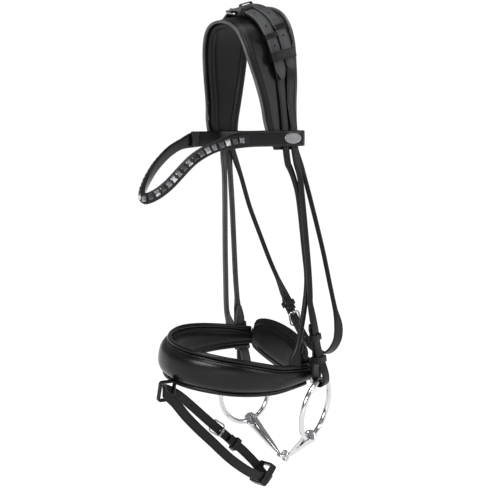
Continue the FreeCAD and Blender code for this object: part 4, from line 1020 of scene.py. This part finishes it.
# ---------------------------------------------------------------- chin pad and its strap
def chin():
    plan = ((-48, 35, (0.15, 1, 0), 30), (-38, 38.6, (0.1, 1, 0), 41), (-20, 41.2, (0.05, 1, 0), 48),
        (0, 42, (0, 1, 0), 50),
            (20, 41.2, (-0.05, 1, 0), 48), (38, 38.6, (-0.1, 1, 0), 41), (48, 35, (-0.15, 1, 0), 30))

    def stations(low, thick, trim):
        rows = run([(x * (1 - trim / 60.0), y, 9.0, (-f[0], f[1], 0), w - 2 * trim, thick) for x, y, f,
            w in plan], 8)
        return level(shifted(rows, low + thick / 2))

    def face(sign, lift, rest):
        return lambda e, w, t: sign * (t / 2 - lift * (1 - smooth(e / 3.0)) - 0.9 * bell(e, 6.2,
            0.9) - rest * smooth((e - 6) / 5))
    fine = (0, 0.2, 0.6, 1.2, 2, 3, 4.5, 5.4, 6.0, 6.6, 7.4, 9)
    body = stations(-0.4, 6.9, 0)
    pad = Skin().loft(stations(-0.4, 9.3, 0), sheet_section(face(1, 2.4, 0.2), face(-1, 2.4, -0.6), fine))
    pad = pad.done("chin_pad_cover", CALF, "headstall", ("chin_pad",), "padded_leather")
    cushion = Skin().loft(stations(-3.0, 2.7, 7.0), sheet_section(lambda e, w, t: t / 2,
                          lambda e, w, t: t / 2 - t * (1 - (1 - clamp(e / 9)) ** 2.4) ** 0.5, fine))
    cushion.done("chin_pad_inner", LINING, "headstall", ("chin_pad_cushion",), "lining_leather")
    rim = [(c + a * (k * (w / 2 - 1.3)), o) for k in (1, -1) for c, a, o, w,
        t in (body if k > 0 else reversed(body))]
    loop = []
    for k, (c, o) in enumerate(rim):
        ahead = (rim[(k + 1) % len(rim)][0] - rim[k - 1][0]).normalized()
        loop.append((c, ahead.cross(o).normalized(), o, 5.2, 5.6))
    skin = Skin().loft(smoothed(loop), ROUND, True)
    skin.done("chin_pad_rim", CALF, "headstall", (), "padded_leather")
    crank()


def smoothed(loop):
    """Rounds the corners of a closed line."""
    for _ in range(3):
        n = len(loop)
        loop = [((loop[k - 1][0] + loop[k][0] * 2 + loop[(k + 1) % n][0]) * 0.25,
            ) + loop[k][1:] for k in range(n)]
    out = []
    for k, (c, a, o, w, t) in enumerate(loop):
        ahead = (loop[(k + 1) % len(loop)][0] - loop[k - 1][0]).normalized()
        out.append((c, ahead.cross(o).normalized(), o, w, t))
    return out


def crank():
    belt = 17.0
    bend = ((56.4, 50.0, (-0.3, -1)), (60.2, 49.3, (0.1, -1)), (63.2, 51.2, (1, -0.5)),
        (63.5, 54.6, (1, 0.4)),
            (61.4, 57.0, (0.4, 1)), (57.6, 57.5, (-0.2, 1)))
    far = [(-45, 57.6, 1.7, (0.1, 1), belt), (-51, 57.8, 1.2, (0, 1), belt)]
    far += [(-x, y, 0.2, (-f[0], f[1]), belt) for x, y, f in reversed(bend)]
    front = [(x, y, z, (0, -1), belt) for x, y, z in ((-50, 51.6, 1.4), (-38, 53.2, 2.5), (-20, 54.3, 3.2),
        (0, 54.6, 3.5),
                                                      (20, 54.3, 3.2), (38, 53.2, 2.5), (50, 51.6, 1.4))]
    near = [(x, y, 0.2, f, belt) for x, y, f in bend] + [(51, 57.8, 1.2, (0, 1), belt)]
    back = [(x, y, z, (0, 1), 12) for x, y, z in ((44, 58.4, 2.1), (32, 59.4, 2.7), (20, 60.1, 3.1),
        (11, 61.6, 3.3),
                                                  (4, 62.5, 3.4), (-4, 61.8, 3.4), (-12, 60.8, 3.4),
                                                  (-21, 60.4, 3.3),
                                                  (-26, 60.3, 3.2))]

    def leveled(rows, thick, steps=2):
        return level(run([(x, y, z, f + (0,), w, thick) for x, y, z, f, w in rows], steps))
    heel, toe = LEVEL @ V(4, 58.6, 3.4), LEVEL @ V(19, 63.3, 3.1)
    line = tip(refine(leveled(far + front + near + back, THICK), 4), 8.0)
    strap = loft("chin_strap", line, STRAP, "headstall", ("crank_strap",), "bridle_leather")
    drill(strap, [(LEVEL @ V(x, 60.5, 3.0), TURN @ V(0, 1, 0)) for x in (30, 40)])
    fold = leveled([(-7, 56.75, 3.4, (0, 1), 13), (0, 56.75, 3.4, (0, 1), 13), (5, 56.75, 3.4, (0, 1), 13)],
        1.0, 1)
    loft("chin_buckle_fold", refine(fold, 4), STRAP, "headstall", ("crank_chape",), "bridle_leather")
    buckle("crank_buckle", heel, toe, TURN @ V(0, 0, 1), TURN @ V(0, 1, 0), "headstall", "crank_tongue")
    keeper("crank_keeper", LEVEL @ V(-12, 57.6, 3.4), TURN @ V(0, 0, 1), TURN @ V(0, 1, 0), belt + 0.8, 9.9,
        6.2, "headstall")


# ---------------------------------------------------------------- flash
def flash():
    wide, thick = 11.4, 2.4
    keeper("flash_loop", V(-2.8, -112.4, -415.2), TURN @ V(0, 1, 0), TURN @ V(0, 0, 1), 16, 19.4, 5.4,
        "headstall", 2.8)
    far = (-1, -0.05, -0.15)
    down = ((-22, -13, -483.5, far), (-21.2, -5, -491.4, far), (-19, 4, -500, far), (-14.6, 11.5, -509, far),
            (-10, 17, -517, (-0.95, 0.1, -0.2)), (-8.6, 21, -523.5, (-0.9, 0.35, -0.3)),
            (-6, 25.5, -529.8, (-0.6, 0.6, -0.5)), (-0.4, 27.6, -533.2, (0, 0.8, -0.6)),
            (5.2, 23.4, -532, (0.6, 0.6, -0.5)), (7.8, 16, -528.4, (0.95, 0.2, -0.3)),
            (9.6, 7, -525.4, (1, 0, -0.15)),
            (15, -14, -515.5, (1, -0.05, -0.15)), (20, -42, -496.7, (1, 0, -0.1)),
            (22, -67.1, -474.7, (1, -0.1, -0.1)),
            (21, -85.8, -457.5, (0.95, -0.2, -0.1)), (17.5, -100.5, -441.5, (0.9, -0.35, -0.1)),
            (12.2, -110.5, -427.3, (0.8, -0.6, -0.1)),
            (6.6, -116, -420.5, (0.6, -0.8, -0.1)), (1.2, -117.8, -415.7, (0.2, -1, -0.1)),
            (-4.6, -115.2, -414.1, (-0.3, -1, -0.1)), (-9.6, -107.6, -414.9, (-0.75, -0.65, -0.1)),
            (-14, -89.4, -423.9, (-0.95, -0.25, -0.1)), (-19.2, -69.8, -437.9, far), (-23, -47, -456.2, far),
            (-25, -27, -472.3, far), (-25.6, -14, -482.8, far), (-24.8, -5, -491.6, far),
            (-23.6, 1, -496.9, far))
    strap = run([(x, y, z, f, wide, thick) for x, y, z, f in down], 2)
    centre, across, out, w, t = strap[2 * 25 - 2]
    along = across.cross(out).normalized()
    along = along * (-1 if along.y > 0 else 1)
    buckle("flash_buckle", centre - along * 3.0 - out * 3.8, centre + along * 11.0 + out * 3.0, across, out,
        "flash", "flash_tongue")
    piece = loft("flash_band", tip(refine(strap, 5), 8.0), STRAP, "flash", ("flash_strap",), "bridle_leather")
    drill(piece, [(strap[k][0], strap[k][2]) for k in (42, 44)])
    outer, inner = strap[2 * 26], strap[2]
    keeper("flash_keeper", (outer[0] + inner[0]) * 0.5, outer[1], outer[2], wide + 1.3, 7.6, 6.2,
        "flash_slider")
    ahead, across = V(0, 0.8, -0.6), V(0, 0.6, 0.8)
    keeper("flash_end_keeper", V(-0.6, 18.6, -525.0), across.cross(ahead), across, 21, 22.6, 8.5, "flash",
        2.6)


# ---------------------------------------------------------------- bit
CENTRE = V(-5.5, 52.7, -509)  # middle of the centre joint
EYE_RADIUS, EYE_WIRE = 5.5, 1.8


def mouth_arm(name, hole, ring_centre, normal, side, eye_normal, body):
    """Hollow-mouth arm: cut butt with the ring hole, broad taper, eye at the centre joint."""
    eye_centre = CENTRE + V(side * EYE_RADIUS / 2, 0, 0)
    joint = eye_centre + V(side * EYE_RADIUS, 0, 0)
    ahead, reach = (joint - hole).normalized(), (joint - hole).length
    flat = normal - ahead * normal.dot(ahead)
    across = ahead.cross(flat).normalized()
    out = across.cross(ahead)
    stop = reach - 2.6
    rows = ((-7.1, 3.0, 3.0), (-7.0, 9.0, 9.0), (-6.7, 11.6, 11.6), (-5.8, 13.6, 13.6), (-4.0, 15.0, 15.0),
        (0, 15.4, 15.0),
            (6, 15.2, 13.8), (14, 14.4, 12.2), (22, 13.0, 10.6), (stop * 0.62, 10.2, 8.6),
            (stop * 0.8, 7.8, 6.8),
            (stop - 4, 5.2, 4.8), (stop, 3.9, 3.6), (reach - 0.4, 3.4, 3.3))
    line = []
    for a, b in zip(rows, rows[1:]):
        for k in range(4):
            d, w, t = [a[n] + (b[n] - a[n]) * k / 4 for n in range(3)]
            line.append((hole + ahead * d, across, out, w, t))
    line.append((hole + ahead * rows[-1][0], across, out, *rows[-1][1:]))
    line = line[:16] + even_out(line[16:])

    def oval(w, t, f):
        return [(w / 2 * p, t / 2 * q, 3.0) for p, q in circle(48)]
    arm = loft(name + "_mouth", line, STEEL, body, (name,), "bit_steel", oval)
    tool = Skin().loft(ring_stations(ring_centre, normal, RING_RADIUS, RING_HOLE, 120), ROUND, True)
    cut(arm, [v * MM for v in tool.verts], tool.faces)
    eye = Skin().loft(ring_stations(eye_centre, eye_normal, EYE_RADIUS, EYE_WIRE, 56), ROUND, True)
    eye.done(name + "_eye", STEEL, body, (), "bit_steel")


def even_out(line):
    """Evens the widths and thicknesses along a line, its ends kept."""
    for _ in range(3):
        line = [line[0]] + [(c, a, o, (line[k][3] + w * 2 + line[k + 2][3]) / 4,
            (line[k][4] + t * 2 + line[k + 2][4]) / 4)
                            for k, (c, a, o, w, t) in enumerate(line[1:-1])] + [line[-1]]
    return line


def bit():
    normal = V(0.858, 0.469, -0.21).normalized()
    rise = (V(0, 0, 1) - normal * normal.z).normalized()
    near, far = V(67, 44, -441), V(-73, 43, -443)
    for name, centre, n, body in (("near", near, normal, "near_ring"), ("far", far, V(1, 0, 0), "far_ring")):
        loft("loose_ring_" + name, ring_stations(centre, n, RING_RADIUS, RING_WIRE, 160), STEEL, body,
            ("bit_ring_" + name,),
             "bit_steel", rounded(0.999, arcs=7), True)
    mouth_arm("bit_arm_near", near - rise * RING_RADIUS, near, normal, 1, V(0, 1, 0), "near_arm")
    mouth_arm("bit_arm_far", far + V(0, 9.8, -math.sqrt(RING_RADIUS ** 2 - 9.8 ** 2)), far, V(1, 0, 0), -1,
        V(0, 0, 1), "far_arm")


headpiece()
poll_straps()
billet_parts()
browband()
throatlash()
noseband()
chin()
flash()
bit()


# ---------------------------------------------------------------- studio
def aimed(obj, place, aim):
    obj.location = place
    obj.rotation_euler = (Vector(aim) - Vector(place)).to_track_quat("-Z", "Y").to_euler()


def emitter(name, place, aim, wide, high, watts):
    data = bpy.data.lights.new(name, "AREA")
    data.shape, data.size, data.size_y, data.energy = "RECTANGLE", wide, high, watts
    aimed(add_object(name, data), place, aim)


def studio():
    world = bpy.data.worlds.new("studio")
    world.use_nodes = True
    tree = world.node_tree
    height = tree.nodes.new("ShaderNodeSeparateXYZ")
    tree.links.new(tree.nodes.new("ShaderNodeTexCoord").outputs["Generated"], height.inputs[0])
    # a white wall all round at eye level under a dim ceiling
    sky = mixed(tree, remap(tree, height.outputs["Z"], 0.07, 0.2), (1.0, 1.0, 1.0), (0.30, 0.30, 0.305))
    tree.links.new(sky, tree.nodes["Background"].inputs["Color"])
    tree.nodes["Background"].inputs["Strength"].default_value = 1.02
    bpy.context.scene.world = world
    mesh = bpy.data.meshes.new("floor")
    far, low = 6, -0.75
    mesh.from_pydata([(-far, -far, low), (far, -far, low), (far, far, low), (-far, far, low)], [],
        [(0, 1, 2, 3)])
    floor = add_object("floor", mesh)
    mat, tree, bsdf = start_finish("floor_finish")
    preset(bsdf, Base_Color=(0.25, 0.25, 0.25, 1), Roughness=0.9, Emission_Color=(1, 1, 1, 1),
        Emission_Strength=0.97)
    mesh.materials.append(mat)
    emitter("overhead", (0.5, -0.2, 1.5), (0, 0, -0.2), 1.2, 0.8, 20)
    emitter("left_box", (0.9, -1.7, 0.8), (0, -0.05, -0.3), 1.6, 0.8, 48)
    emitter("right_box", (1.6, 1.2, 0.6), (0, 0, -0.3), 0.4, 1.2, 9)
    emitter("low_fill", (1.2, -0.6, -0.6), (0, 0, -0.4), 1.0, 0.4, 1)
    view = bpy.data.cameras.new("view")
    view.lens, view.sensor_width = 125.2, 36
    camera = add_object("view", view)
    target, distance = Vector((0, 0, -0.262)), 2.0
    side, up = math.radians(55), math.radians(5)
    way = Vector((math.sin(side) * math.cos(up), -math.cos(side) * math.cos(up), math.sin(up)))
    aimed(camera, target + distance * way, target)
    bpy.context.scene.camera = camera
    bpy.context.scene.view_settings.view_transform = "Standard"


studio()
